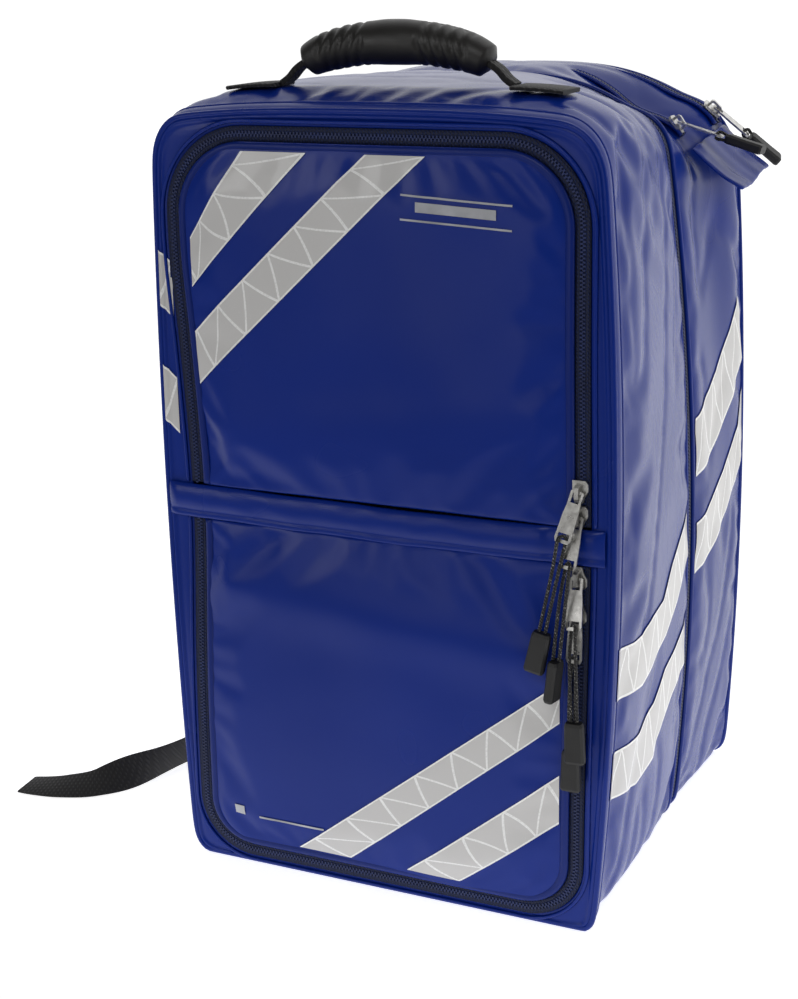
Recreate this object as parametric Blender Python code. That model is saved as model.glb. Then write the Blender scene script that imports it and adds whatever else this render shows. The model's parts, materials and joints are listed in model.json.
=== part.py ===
"""A rescue worker's trauma backpack with a clamshell main compartment and two front lids.

Metres, +Z up. The origin is the centre of the base. -Y is the front with the two
lids, +Y is the back panel, and +X is the wearer's right, where the zips' pulls are.
"""

import math

import bmesh
import bpy
from mathutils import Matrix, Vector

# Driving dimensions of the body.
HALF_WIDTH = 0.152
SIDE_BOW = 0.006
BODY_TOP = 0.533
FRONT_TOP = 0.520
FRONT_Y = -0.1535
REAR_Y = 0.153
ZIP_PLANE_Y = 0.033
WALL = 0.003
PANEL = 0.003
GAP = 0.0003
CUT_PAST = 0.01
CROWN_TOP = 0.5285

# The front: two lids, the band between them and their zips.
CHAIN_X = 0.1375
CHAIN_TOP = 0.507
CHAIN_BOTTOM = 0.0105
CHAIN_TOP_RADIUS = 0.050
CHAIN_BOTTOM_RADIUS = 0.036
TAPE_IN = 0.0042
TAPE_OUT = 0.0045
BAND_LOW = 0.253
BAND_HIGH = 0.275
BAND_OUT = 0.0040
BAND_REACH = 0.001
UPPER_HINGE_Z = 0.3147
LOWER_HINGE_Z = 0.2083
LID_HINGE_Y = FRONT_Y - 0.0015
LID_FRONT_Y = FRONT_Y - 0.0010
CHAIN_GAP = 0.0002
END_GAP = 0.0005

# The zip pulls: slider, tab, cord and rubber end.
SLIDER_WIDTH = 0.012
SLIDER_LENGTH = 0.014
PIVOT_OUT = 0.0037
TAB_LENGTH = 0.032
TAB_WIDTH = 0.0105
TAB_THICK = 0.0014
CORD = 0.0024
CORD_SIDE = 0.002
END_LENGTH = 0.027
END_WIDTH = 0.0132
END_THICK = 0.0066
END_CORNER = 0.45

# The carrying handle.
HANDLE_Y = -0.110
HANDLE_AXIS_Z = 0.541
GRIP_LENGTH = 0.126
GRIP_RADIUS = 0.0135
GRIP_BORE_WIDE = 0.0078
GRIP_BORE_HIGH = 0.0036
FOOT_HALF = 0.017
WEBBING = 0.0016
WEBBING_WIDTH = 0.025

BLUE = (0.02, 0.04, 0.32)
DARK_BLUE = (0.012, 0.02, 0.16)
BLACK = (0.015, 0.015, 0.016)
GREY = (0.12, 0.12, 0.13)
SILVER = (0.72, 0.72, 0.70)

COLOURS = {
    "tarpaulin": (BLUE, 0.28, 0.0),
    "zip_tape": (DARK_BLUE, 0.6, 0.0),
    "webbing": (BLACK, 0.8, 0.0),
    "foam_mesh": (GREY, 0.9, 0.0),
    "inner_sheet": (GREY, 0.5, 0.0),
    "moulded_grip": (BLACK, 0.45, 0.0),
    "zinc": (SILVER, 0.3, 1.0),
    "cord": (BLACK, 0.8, 0.0),
    "rubber": (BLACK, 0.6, 0.0),
    "buckle": (BLACK, 0.4, 0.0),
}

pivots = {}


def clear_scene():
    for old in list(bpy.data.objects):
        bpy.data.objects.remove(old, do_unlink=True)


def make_materials():
    for name, (colour, roughness, metallic) in COLOURS.items():
        made = bpy.data.materials.new(name)
        made.use_nodes = True
        shader = made.node_tree.nodes["Principled BSDF"]
        shader.inputs["Base Color"].default_value = (*colour, 1.0)
        shader.inputs["Roughness"].default_value = roughness
        shader.inputs["Metallic"].default_value = metallic
        made.diffuse_color = (*colour, 1.0)


def make_pivot(name, place):
    """An empty on a joint's axis, which the pieces of that body hang from."""
    empty = bpy.data.objects.new(name, None)
    empty.location = place
    empty.empty_display_size = 0.02
    bpy.context.collection.objects.link(empty)
    pivots[name] = empty
    return empty


def place(obj, material, body):
    """Gives a piece its material and hangs it from its body's pivot."""
    obj.data.materials.append(bpy.data.materials[material])
    bpy.context.collection.objects.link(obj)
    if body in pivots:
        obj.parent = pivots[body]
        obj.location = -pivots[body].location
    return obj


def mesh_piece(name, bm, material, body=None, smooth=False):
    bmesh.ops.recalc_face_normals(bm, faces=bm.faces)
    mesh = bpy.data.meshes.new(name)
    bm.to_mesh(mesh)
    bm.free()
    if smooth:
        mesh.shade_smooth()
        mesh.set_sharp_from_angle(angle=math.radians(40))
    return place(bpy.data.objects.new(name, mesh), material, body)


def skin(loops, ring=False):
    """A closed surface through loops of points. A ring's last loop joins its first."""
    bm = bmesh.new()
    rows = [[bm.verts.new(point) for point in loop] for loop in loops]
    pairs = list(zip(rows, rows[1:]))
    if ring:
        pairs.append((rows[-1], rows[0]))
    for low, high in pairs:
        for i in range(len(low)):
            j = (i + 1) % len(low)
            bm.faces.new((low[i], low[j], high[j], high[i]))
    if not ring:
        bm.faces.new(rows[0])
        bm.faces.new(rows[-1])
    return bm


def arc(centre, radius_x, radius_z, start, end, steps):
    """Points of an elliptic arc in the XZ plane, from one angle to another in degrees."""
    found = []
    for i in range(steps + 1):
        angle = math.radians(start + (end - start) * i / steps)
        found.append((centre[0] + radius_x * math.cos(angle), centre[1] + radius_z * math.sin(angle)))
    return found


def outline(half_width, low, high, low_radius, high_radius_x, high_radius_z, bow=0.0, wall=0.0):
    """The bag's closed outline in the XZ plane, moved inwards by the wall's thickness."""
    half, bottom, top = half_width - wall, low + wall, high - wall
    r = max(low_radius - wall, 0.002)
    rx, rz = max(high_radius_x - wall, 0.002), max(high_radius_z - wall, 0.002)
    points = [(x * (half - r), bottom) for x in (-0.5, 0.0, 0.5)]
    points += arc((half - r, bottom + r), r, r, -90, 0, 5)
    points += [(half, bottom + r + (top - rz - bottom - r) * k / 5) for k in (1, 2, 3, 4)]
    points += arc((half - rx, top - rz), rx, rz, 0, 90, 8)
    points += [(x * (half - rx), top) for x in (0.5, 0.0, -0.5)]
    points += arc((rx - half, top - rz), rx, rz, 90, 180, 8)
    points += [(-half, bottom + r + (top - rz - bottom - r) * k / 5) for k in (4, 3, 2, 1)]
    points += arc((r - half, bottom + r), r, r, 180, 270, 5)
    bowed = []
    for x, z in points:
        bulge = bow * math.sin(math.pi * min(max(z / BODY_TOP, 0.0), 1.0))
        bowed.append((x * (1 + bulge / half_width), z))
    return bowed


def front_outline(wall=0.0):
    return outline(HALF_WIDTH, 0.0, FRONT_TOP, 0.020, 0.022, 0.022, SIDE_BOW, wall)


def crown_outline(wall=0.0):
    return outline(HALF_WIDTH, 0.0, CROWN_TOP, 0.022, 0.030, 0.034, SIDE_BOW, wall)


def zip_outline(wall=0.0):
    return outline(HALF_WIDTH, 0.0, BODY_TOP, 0.024, 0.075, 0.190, 0.003, wall)


def middle_outline(wall=0.0):
    return outline(HALF_WIDTH, 0.0, BODY_TOP + 0.001, 0.026, 0.100, 0.170, 0.004, wall)


def rear_outline(wall=0.0):
    return outline(HALF_WIDTH, 0.0, BODY_TOP, 0.026, 0.100, 0.090, 0.004, wall)


# The rear section's wall: the outline it follows at each depth.
REAR_SECTIONS = [(zip_outline, 0.0405), (zip_outline, 0.055), (middle_outline, 0.085), (rear_outline, 0.130)]


def rear_wall_at(y, wall):
    """The rear section's outline at one depth, between its sections."""
    if y >= REAR_SECTIONS[-1][1]:
        return REAR_SECTIONS[-1][0](wall)
    for (shape_a, y_a), (shape_b, y_b) in zip(REAR_SECTIONS, REAR_SECTIONS[1:]):
        if y_a <= y <= y_b:
            share = (y - y_a) / (y_b - y_a)
            return [tuple(Vector(a).lerp(Vector(b), share)) for a, b in zip(shape_a(wall), shape_b(wall))]
    raise ValueError(y)


def at_y(points, y):
    return [(x, y, z) for x, z in points]


def tube_of_walls(name, sections, wall, material, body):
    """A ring of cloth wall through (outline, y) sections, open at both ends."""
    outside = [at_y(shape(), y) for shape, y in sections]
    inside = [at_y(shape(wall), y) for shape, y in sections]
    return mesh_piece(name, skin(outside + inside[::-1], ring=True), material, body)


def prism(points, near_y, far_y):
    return skin([at_y(points, near_y), at_y(points, far_y)])


def block(low, high):
    """A plain box between two corners."""
    bm = bmesh.new()
    bmesh.ops.create_cube(bm, size=1.0)
    size = [b - a for a, b in zip(low, high)]
    middle = [(a + b) / 2 for a, b in zip(low, high)]
    bmesh.ops.scale(bm, vec=size, verts=bm.verts)
    bmesh.ops.translate(bm, vec=middle, verts=bm.verts)
    return bm


def soften(obj, width, segments=2):
    bevel = obj.modifiers.new("rounded edges", "BEVEL")
    bevel.width = width
    bevel.segments = segments
    bevel.limit_method = "ANGLE"
    return obj


def combine(name, bm, owner, operation):
    """Cuts a shape out of its owner, or joins it on. The shape itself isn't part of the model."""
    mesh = bpy.data.meshes.new(name)
    bmesh.ops.recalc_face_normals(bm, faces=bm.faces)
    bm.to_mesh(mesh)
    bm.free()
    tool = bpy.data.objects.new(name, mesh)
    tool.hide_render = True
    tool.display_type = "WIRE"
    bpy.context.collection.objects.link(tool)
    tool.matrix_world = Matrix.Identity(4)
    cut = owner.modifiers.new(name, "BOOLEAN")
    cut.object = tool
    cut.operation = operation
    cut.solver = "EXACT"


def smooth_path(points, spacing):
    """Evenly spaced points on a Catmull-Rom curve through the given ones."""
    places = [Vector(p) for p in points]
    ends = [2 * places[0] - places[1]] + places + [2 * places[-1] - places[-2]]
    fine = []
    for a, b, c, d in zip(ends, ends[1:], ends[2:], ends[3:]):
        for k in range(24):
            t = k / 24
            fine.append(0.5 * (2 * b + (c - a) * t + (2 * a - 5 * b + 4 * c - d) * t * t
                               + (3 * b - a - 3 * c + d) * t ** 3))
    fine.append(places[-1])
    along = [0.0]
    for a, b in zip(fine, fine[1:]):
        along.append(along[-1] + (b - a).length)
    count = max(2, round(along[-1] / spacing))
    out, i = [], 0
    for k in range(count + 1):
        want = along[-1] * k / count
        while i < len(fine) - 2 and along[i + 1] < want:
            i += 1
        share = (want - along[i]) / max(along[i + 1] - along[i], 1e-9)
        out.append(fine[i].lerp(fine[i + 1], min(share, 1.0)))
    return out


def cord_piece(name, points, diameter, material, body, spacing):
    curve = bpy.data.curves.new(name, "CURVE")
    curve.dimensions = "3D"
    curve.bevel_depth = diameter / 2
    curve.bevel_resolution = 2
    curve.use_fill_caps = True
    line = smooth_path(points, spacing)
    spline = curve.splines.new("POLY")
    spline.points.add(len(line) - 1)
    for point, there in zip(spline.points, line):
        point.co = (*there, 1.0)
    return place(bpy.data.objects.new(name, curve), material, body)


def ribbon(name, points, across, width, thick, material, body, spacing=0.006, floor=None):
    """A flat strap along a route. across gives the way its width lies at each point.

    With a floor height, the strap's lower edge lies on the floor all the way.
    """
    line = smooth_path(points, spacing)
    sides = smooth_path(across, 0.02)
    loops = []
    for i, here in enumerate(line):
        before, after = line[max(i - 1, 0)], line[min(i + 1, len(line) - 1)]
        ahead = (after - before).normalized()
        share = i / (len(line) - 1) * (len(sides) - 1)
        k = min(int(share), len(sides) - 2)
        side = sides[k].lerp(sides[k + 1], share - k)
        side = (side - ahead * side.dot(ahead)).normalized()
        up = ahead.cross(side)
        if floor is not None:
            here = Vector((here.x, here.y, floor + abs(side.z) * width / 2 + abs(up.z) * thick / 2))
        loops.append([here + side * (a * width / 2) + up * (b * thick / 2)
                      for a, b in ((-1, -1), (1, -1), (1, 1), (-1, 1))])
    return mesh_piece(name, skin(loops), material, body)


def make_shells():
    """The cloth walls of both sections, the back panel and the dividers inside."""
    tube_of_walls(
        "front_shell",
        [(front_outline, FRONT_Y + PANEL + GAP), (crown_outline, -0.125), (crown_outline, -0.085),
         (middle_outline, -0.030), (zip_outline, 0.010), (zip_outline, 0.0255)],
        WALL, "tarpaulin", "front_section")
    tube_of_walls("main_zip_front_half", [(zip_outline, 0.0258), (zip_outline, 0.0327)],
                  0.002, "zip_tape", "front_section")
    tube_of_walls("main_zip_rear_half", [(zip_outline, 0.0333), (zip_outline, 0.0402)],
                  0.002, "zip_tape", None)
    outside = [(rear_outline, REAR_Y)] + REAR_SECTIONS[::-1]
    inside = REAR_SECTIONS + [(rear_outline, REAR_Y - WALL)]
    loops = [at_y(shape(), y) for shape, y in outside] + [at_y(shape(WALL), y) for shape, y in inside]
    mesh_piece("rear_shell", skin(loops), "tarpaulin")
    sheet = outline(HALF_WIDTH - 0.010, 0.012, 0.505, 0.03, 0.08, 0.08)
    mesh_piece("frame_sheet", prism(sheet, REAR_Y - WALL - GAP - 0.002, REAR_Y - WALL - GAP), "inner_sheet")
    divider = outline(HALF_WIDTH - 0.010, 0.008, 0.500, 0.03, 0.09, 0.23)
    mesh_piece("divider_panel", prism(divider, 0.004, 0.0065), "inner_sheet", "front_section")
    mesh_piece("compartment_shelf", block((-0.140, -0.1400, 0.2625), (0.140, 0.0030, 0.2655)),
               "inner_sheet", "front_section")


def chain_line(offset):
    """The rounded rectangle of both lid zips, moved outwards by offset."""
    half, top, bottom = CHAIN_X + offset, CHAIN_TOP + offset, CHAIN_BOTTOM - offset
    high, low = CHAIN_TOP_RADIUS + offset, CHAIN_BOTTOM_RADIUS + offset
    right = arc((half - low, bottom + low), low, low, -90, 0, 6)
    right += arc((half - high, top - high), high, high, 0, 90, 8)
    return right + [(-x, z) for x, z in right[::-1]]


def clipped(points, low=None, high=None):
    """The part of a chain line above low or below high, from its right side to its left."""
    if low is not None:
        kept = [p for p in points if p[1] > low]
        edge = max(x for x, z in points)
        return [(edge, low)] + kept + [(-edge, low)]
    right = [p for p in points if p[1] < high and p[0] > 0]
    left = [p for p in points if p[1] < high and p[0] < 0]
    edge = max(x for x, z in points)
    return [(-edge, high)] + left + right + [(edge, high)]


def zip_strip(name, near, far, low, high, body):
    """One tape of a lid's zip: the band between two offsets of the chain line."""
    inner, outer = clipped(chain_line(near), low, high), clipped(chain_line(far), low, high)
    strip = outer + inner[::-1]
    mesh_piece(name, prism(strip, FRONT_Y - 0.0005, FRONT_Y + 0.0015), "zip_tape", body)


def make_front():
    """The frame round the lids, both lids, the band and the lids' zips."""
    opening = chain_line(TAPE_OUT)
    edge = front_outline()
    frame = prism(edge, FRONT_Y, FRONT_Y + PANEL)
    owner = mesh_piece("front_frame", frame, "tarpaulin", "front_section")
    combine("frame_opening", prism(opening, FRONT_Y - CUT_PAST, FRONT_Y + CUT_PAST), owner, "DIFFERENCE")

    lid_edge = chain_line(-TAPE_OUT)
    back = LID_FRONT_Y + PANEL
    mesh_piece("upper_lid_panel", prism(clipped(lid_edge, low=UPPER_HINGE_Z + GAP), LID_FRONT_Y, back),
               "tarpaulin", "upper_lid")
    mesh_piece("lower_lid_panel", prism(clipped(lid_edge, high=LOWER_HINGE_Z - GAP), LID_FRONT_Y, back),
               "tarpaulin", "lower_lid")
    zip_strip("upper_zip_inner_half", -TAPE_IN, -CHAIN_GAP, UPPER_HINGE_Z + GAP, None, "upper_lid")
    zip_strip("lower_zip_inner_half", -TAPE_IN, -CHAIN_GAP, None, LOWER_HINGE_Z - GAP, "lower_lid")
    zip_strip("upper_zip_outer_half", CHAIN_GAP, TAPE_IN, BAND_HIGH + END_GAP, None, "front_section")
    zip_strip("lower_zip_outer_half", CHAIN_GAP, TAPE_IN, None, BAND_LOW - END_GAP, "front_section")

    half_plate = CHAIN_X - TAPE_OUT
    plate = block((-half_plate, LID_FRONT_Y, LOWER_HINGE_Z + CHAIN_GAP),
                  (half_plate, back, UPPER_HINGE_Z - CHAIN_GAP))
    band = mesh_piece("middle_band", plate, "tarpaulin", "front_section")
    reach = HALF_WIDTH + BAND_REACH
    bar = block((-reach, FRONT_Y - BAND_OUT, BAND_LOW), (reach, FRONT_Y - 0.0007, BAND_HIGH))
    combine("band_bar", bar, band, "UNION")


def tab_mesh():
    """A zip tab hanging from its crossbar, with an eye round the bridge and a slot for the cord."""
    half = TAB_WIDTH / 2
    right = [(0.0031, 0.0009), (0.0042, 0.0003), (0.0042, -0.0080), (half - 0.0004, -0.0150),
             (half, -TAB_LENGTH + 0.0025), (half - 0.0012, -TAB_LENGTH)]
    shape = right + [(-x, z) for x, z in right[::-1]]
    return prism(shape, -TAB_THICK / 2, TAB_THICK / 2)


def end_mesh():
    """A moulded rubber end, narrower at the top where the cord goes in."""
    loops = []
    stations = ((0.5, 0.80, 0.86), (0.42, 0.90, 1.0), (-0.1, 0.95, 0.96), (-0.44, 1.0, 1.0),
                (-0.5, 0.92, 0.84))
    for z, width, thick in stations:
        a, b = END_WIDTH / 2 * width, END_THICK / 2 * thick
        c = b * END_CORNER
        section = ((a - c, -b), (a, c - b), (a, b - c), (a - c, b),
                   (c - a, b), (-a, b - c), (-a, c - b), (c - a, -b))
        loops.append([(x, y, z * END_LENGTH) for x, y in section])
    return skin(loops)


def slider_mesh(turn):
    """A slider's top plate with rounded shoulders, before its bridge is joined on."""
    half, long = SLIDER_WIDTH / 2, SLIDER_LENGTH / 2
    right = [(half * 0.45, -long), (half * 0.62, -long * 0.5), (half, long * 0.1), (half, long * 0.7),
             (half * 0.7, long)]
    shape = [(x, turn * z) for x, z in right] + [(-x, turn * z) for x, z in right[::-1]]
    return prism(shape, 0.0018, 0.0036)


def bridge_mesh():
    """The bent bar over a slider's plate that the tab's crossbar turns under."""
    side = [(0.0026, -0.0052), (-0.0020, -0.0050), (-0.0031, -0.0036), (-0.0031, 0.0036), (-0.0020, 0.0050),
            (0.0026, 0.0052), (0.0026, 0.0036), (-0.0009, 0.0034), (-0.0015, 0.0026),
            (-0.0015, -0.0026), (-0.0009, -0.0034), (0.0026, -0.0036)]
    return skin([[(x, y, z) for y, z in side] for x in (-0.0013, 0.0013)])


def carried(bm, matrix):
    bmesh.ops.transform(bm, matrix=matrix, verts=bm.verts)
    return bm


def make_slider(name, matrix, turn, body):
    owner = mesh_piece(name, carried(slider_mesh(turn), matrix), "zinc", body)
    combine(name + "_bridge", carried(bridge_mesh(), matrix), owner, "UNION")


def make_pull(name, slider_matrix, body, lean, tilt, reach, drop, end_out, end_twist, front_side):
    """A tab, its cord loop and its rubber end.

    lean turns the pull sideways and tilt holds its tab away from the bag, in degrees. reach is
    from the crossbar to the middle of the rubber end. Both strands come level at drop, and a
    pull with no drop is straight: its end lies in line with its tab.
    """
    swing = slider_matrix @ Matrix.Rotation(math.radians(lean), 4, "Y")
    tab_at = swing @ Matrix.Rotation(math.radians(-tilt), 4, "X")
    tab = mesh_piece(name + "_tab", carried(tab_mesh(), tab_at), "zinc", body)
    thick = TAB_THICK * 2
    eye = block((-0.0026, -thick, -0.0068), (0.0026, thick, -0.0009))
    slot = block((-0.0036, -thick, -TAB_LENGTH + 0.0022), (0.0036, thick, -TAB_LENGTH + 0.0060))
    combine(name + "_eye", carried(eye, tab_at), tab, "DIFFERENCE")
    combine(name + "_slot", carried(slot, tab_at), tab, "DIFFERENCE")

    bar = -TAB_LENGTH + 0.0041
    side = CORD_SIDE * front_side
    turn = [(side, -0.0024, bar - 0.0050), (side, -0.0024, bar - 0.0020), (side * 0.55, -0.0017, bar - 0.0004),
            (0.0, 0.0, bar + 0.0001),
            (-side * 0.55, 0.0017, bar - 0.0004), (-side, 0.0024, bar - 0.0020), (-side, 0.0024, bar - 0.0050)]
    turn = [tab_at @ Vector(p) for p in turn]
    top = -reach + END_LENGTH / 2 + 2 * GAP
    if drop is None:
        feet = [tab_at @ Vector((s, 0.0015 * y, top)) for s, y in ((side, -1), (-side, 1))]
        cord_piece(name + "_cord", feet[:1] + turn[1:-1] + feet[1:], CORD, "cord", body, 0.0026)
        end_at = tab_at @ Matrix.Translation((0, 0, -reach))
        mesh_piece(name + "_end", carried(end_mesh(), end_at), "rubber", body, smooth=True)
        return
    level = [swing @ Vector((s, -end_out, -drop)) for s in (side, -side)]
    foot = [swing @ Vector((s, -end_out, top)) for s in (side, -side)]
    near = [swing @ Vector((s, -end_out, top + 0.006)) for s in (side, -side)]
    route = [foot[0], near[0], level[0]] + turn + [level[1], near[1], foot[1]]
    cord_piece(name + "_cord", route, CORD, "cord", body, 0.0026)
    twisted = Matrix.Rotation(math.radians(end_twist), 4, "Z")
    end_at = swing @ Matrix.Translation((0, -end_out, -reach)) @ twisted
    mesh_piece(name + "_end", carried(end_mesh(), end_at), "rubber", body, smooth=True)


# Front pulls: height, way round, lean, tilt, drop of the strands and place of the rubber end.
FRONT_PULLS = {
    "upper_a": (0.2995, 1, 11.5, 22, 0.050, 0.0117, 0, -1),
    "upper_b": (0.2835, 1, 5.7, 16, 0.052, 0.0112, 80, 1),
    "lower_b": (0.2445, -1, -2.0, 15, 0.050, 0.0112, 0, 1),
    "lower_a": (0.2220, -1, 0.5, 5, 0.050, 0.0042, 0, 1),
}
PULL_REACH = 0.104
PIVOT_Y = FRONT_Y - 0.0012 - PIVOT_OUT


def make_front_pulls():
    for name, (z, turn, lean, tilt, drop, out, twist, front_side) in FRONT_PULLS.items():
        slider_at = Matrix.Translation((CHAIN_X, PIVOT_Y, z))
        make_slider(name + "_slider", slider_at, turn, name + "_slider_body")
        make_pull(name, slider_at, name + "_pull_body", lean, tilt, PULL_REACH, drop, out, twist, front_side)


# The two zips on the crown behind the main zip. For each slider: its place, the way its face
# looks, how far it is turned towards the back, and its pull's lean, tilt and reach.
TOP_PULLS = {
    "top_rear": (Vector((0.1344, 0.1360, 0.5046)), Vector((0.740, 0.0, 0.673)), 20, 0, 5, 0.0475),
    "top_front": (Vector((0.1230, 0.0880, 0.4975)), Vector((0.810, 0.0, 0.586)), 0, 4, 38, 0.0490),
}


def top_frame(at, outward, turned):
    """A crown slider's frame: its tab hangs down the slope, turned towards the back."""
    slope = Vector((outward.z, 0.0, -outward.x))
    angle = math.radians(turned)
    down = slope * math.cos(angle) + Vector((0.0, 1.0, 0.0)) * math.sin(angle)
    frame = Matrix((outward.cross(down), -outward, -down)).transposed().to_4x4()
    return Matrix.Translation(at) @ frame


def make_top_pulls():
    for name, (at, outward, turned, lean, tilt, reach) in TOP_PULLS.items():
        slider_at = top_frame(at, outward, turned)
        make_slider(name + "_slider", slider_at, 1, name + "_slider_body")
        make_pull(name, slider_at, name + "_pull_body", lean, tilt, reach, None, 0.0, 0, 1)


def make_crown():
    """The crown's two zip strips and the stitched tongue that they end on."""
    for name, near, far in (("top_zip_rear", 0.1300, 0.1420), ("top_zip_front", 0.0860, 0.0940)):
        loops = []
        for y in (near, far):
            inner, outer = rear_wall_at(y, -0.0009), rear_wall_at(y, -0.0025)
            kept = [i for i, (x, z) in enumerate(rear_wall_at(y, 0.0)) if z > 0.500 and abs(x) < 0.130]
            loops.append(at_y([outer[i] for i in kept] + [inner[i] for i in kept[::-1]], y))
        mesh_piece(name, skin(loops), "zip_tape")
    drop = math.atan2(0.031, 0.036)
    side = Vector((math.cos(drop), 0.0, -math.sin(drop)))
    up = Vector((math.sin(drop), 0.0, math.cos(drop)))
    start = Vector((0.1400, 0.0, 0.4765))
    rise = 0.11
    corners = [(0.0, 0.062), (0.0, 0.142), (0.040, 0.142), (0.0445, 0.134), (0.0415, 0.062)]
    loops = [[start + side * s + up * (h * 0.0028) + Vector((0, y, rise * y)) for s, y in corners]
             for h in (0, 1)]
    mesh_piece("top_tongue", skin(loops), "tarpaulin")


def make_handle():
    """The moulded grip on its webbing, and the feet that hold it to the crown."""
    side = [(-0.0790, 0.5352), (-0.0735, 0.5390), (-0.0660, 0.5460), (-0.0490, 0.5540), (-0.0250, 0.5590),
            (0.0, 0.5604)]
    route = side + [(-x, z) for x, z in side[-2::-1]]
    points = [(x, HANDLE_Y, z) for x, z in route]
    ribbon("handle_webbing", points, [(0, 1, 0)] * 3, 0.012, 0.0040, "webbing", "handle", 0.008)

    centre = smooth_path(points, 0.006)
    held = [p for p in centre if abs(p.x) <= GRIP_LENGTH / 2]
    outside, inside = [], []
    for i, here in enumerate(held):
        share = abs(here.x) / (GRIP_LENGTH / 2)
        radius = GRIP_RADIUS * (1.0 - 0.28 * share ** 4)
        ahead = (held[min(i + 1, len(held) - 1)] - held[max(i - 1, 0)]).normalized()
        across = Vector((0, 1, 0))
        up = ahead.cross(across)
        turns = [math.radians(22.5 + 30 * k) for k in range(12)]
        outside.append([here + across * (radius * 1.05 * math.cos(t)) + up * (radius * math.sin(t))
                        for t in turns])
        inside.append([here + across * (GRIP_BORE_WIDE * math.cos(t)) + up * (GRIP_BORE_HIGH * math.sin(t))
                       for t in turns])
    mesh_piece("handle_grip", skin(outside + inside[::-1], ring=True), "moulded_grip", "handle", smooth=True)

    for name, turn in (("handle_foot_left", -1), ("handle_foot_right", 1)):
        near, far = sorted((turn * 0.0805, turn * 0.112))
        foot = block((near, HANDLE_Y - FOOT_HALF, 0.5300), (far, HANDLE_Y + FOOT_HALF, 0.5325))
        soften(mesh_piece(name, foot, "webbing", "front_section"), 0.0008, 1)


def make_harness():
    """The padded back, the shoulder straps and their webbing."""
    panel = outline(0.132, 0.078, 0.505, 0.03, 0.04, 0.04)
    back = REAR_Y + GAP
    mesh_piece("back_panel", prism(panel, back, back + 0.006), "foam_mesh")
    pad_near = back + 0.006 + GAP
    pads = {
        "back_pad_left": ((-0.112, 0.185), (-0.022, 0.430), 0.014),
        "back_pad_right": ((0.022, 0.185), (0.112, 0.430), 0.014),
        "lumbar_pad": ((-0.096, 0.082), (0.096, 0.160), 0.016),
        "shoulder_yoke": ((-0.085, 0.455), (0.085, 0.498), 0.008),
    }
    for name, ((x0, z0), (x1, z1), thick) in pads.items():
        made = mesh_piece(name, block((x0, pad_near, z0), (x1, pad_near + thick, z1)), "foam_mesh")
        soften(made, 0.0035 if name == "shoulder_yoke" else 0.006)

    for side, turn in (("left", -1), ("right", 1)):
        strap = [(0.050, 0.1755, 0.470), (0.052, 0.186, 0.440), (0.058, 0.197, 0.400), (0.068, 0.205, 0.340),
                 (0.082, 0.203, 0.280), (0.096, 0.194, 0.230), (0.104, 0.187, 0.195)]
        points = [(turn * x, y, z) for x, y, z in strap]
        ribbon("shoulder_strap_" + side, points, [(1, 0, 0)] * 3, 0.058, 0.012, "foam_mesh", None, 0.02)
        lock_x, lock_y, lock_z = turn * 0.1055, 0.1865, 0.179
        lock = mesh_piece("ladder_lock_" + side,
                          block((lock_x - 0.017, lock_y - 0.0025, lock_z - 0.012),
                                (lock_x + 0.017, lock_y + 0.0025, lock_z + 0.0105)), "buckle")
        opening = block((lock_x - 0.013, lock_y - CUT_PAST, lock_z - 0.0075),
                        (lock_x + 0.013, lock_y + CUT_PAST, lock_z + 0.0015))
        combine("lock_opening_" + side, opening, lock, "DIFFERENCE")
        lower = [(turn * 0.1085, 0.1835, 0.1620), (turn * 0.113, 0.1800, 0.140), (turn * 0.118, 0.1700, 0.100),
                 (turn * 0.121, 0.1620, 0.070), (turn * 0.122, 0.1560, 0.045), (turn * 0.122, 0.1550, 0.020)]
        ribbon("lower_webbing_" + side, lower, [(1, 0, 0)] * 3, WEBBING_WIDTH, WEBBING, "webbing", None, 0.01)


# The left strap's free end: down from its ladder lock, then along the floor past the bag's side.
FLOOR = 0.0006
TAIL_DROP = [(-0.1060, 0.1895, 0.1660), (-0.1075, 0.1930, 0.135), (-0.1105, 0.1975, 0.090),
             (-0.1155, 0.2010, 0.048), (-0.1230, 0.2030, 0.016), (-0.1360, 0.2030, 0.0026),
             (-0.1500, 0.2020, 0.0014)]
TAIL_DROP_ACROSS = [(1, 0.0, 0), (0.9, 0.45, 0), (0.45, 0.9, 0.0), (0.0, 1, 0.0)]
TAIL_RUN = [(-0.1516, 0.2019, FLOOR), (-0.1570, 0.2013, FLOOR), (-0.1700, 0.1950, FLOOR),
            (-0.1840, 0.1760, FLOOR), (-0.1950, 0.1450, FLOOR), (-0.2030, 0.0950, FLOOR), (-0.2130, 0.0350, FLOOR),
            (-0.2290, -0.0300, FLOOR), (-0.2430, -0.0740, FLOOR), (-0.2640, -0.1010, FLOOR),
            (-0.2900, -0.1130, FLOOR), (-0.3100, -0.1165, FLOOR), (-0.3240, -0.1170, FLOOR)]
TAIL_RUN_ACROSS = [(0.0, 1, 0.0), (0.15, 0.55, 0.85), (0.0, 0.0, 1.0), (0.0, 0.0, 1.0), (0.03, 0.0, 1.0),
                   (0.10, 0.0, 1.0), (0.30, 0.35, 0.85), (0.0, 1.0, 0.30), (0.0, 1.0, 0.06)]


def make_tail():
    ribbon("strap_tail_drop", TAIL_DROP, TAIL_DROP_ACROSS, WEBBING_WIDTH, WEBBING, "webbing", None)
    ribbon("strap_tail", TAIL_RUN, TAIL_RUN_ACROSS, WEBBING_WIDTH, WEBBING, "webbing", None, 0.008, FLOOR)


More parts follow.
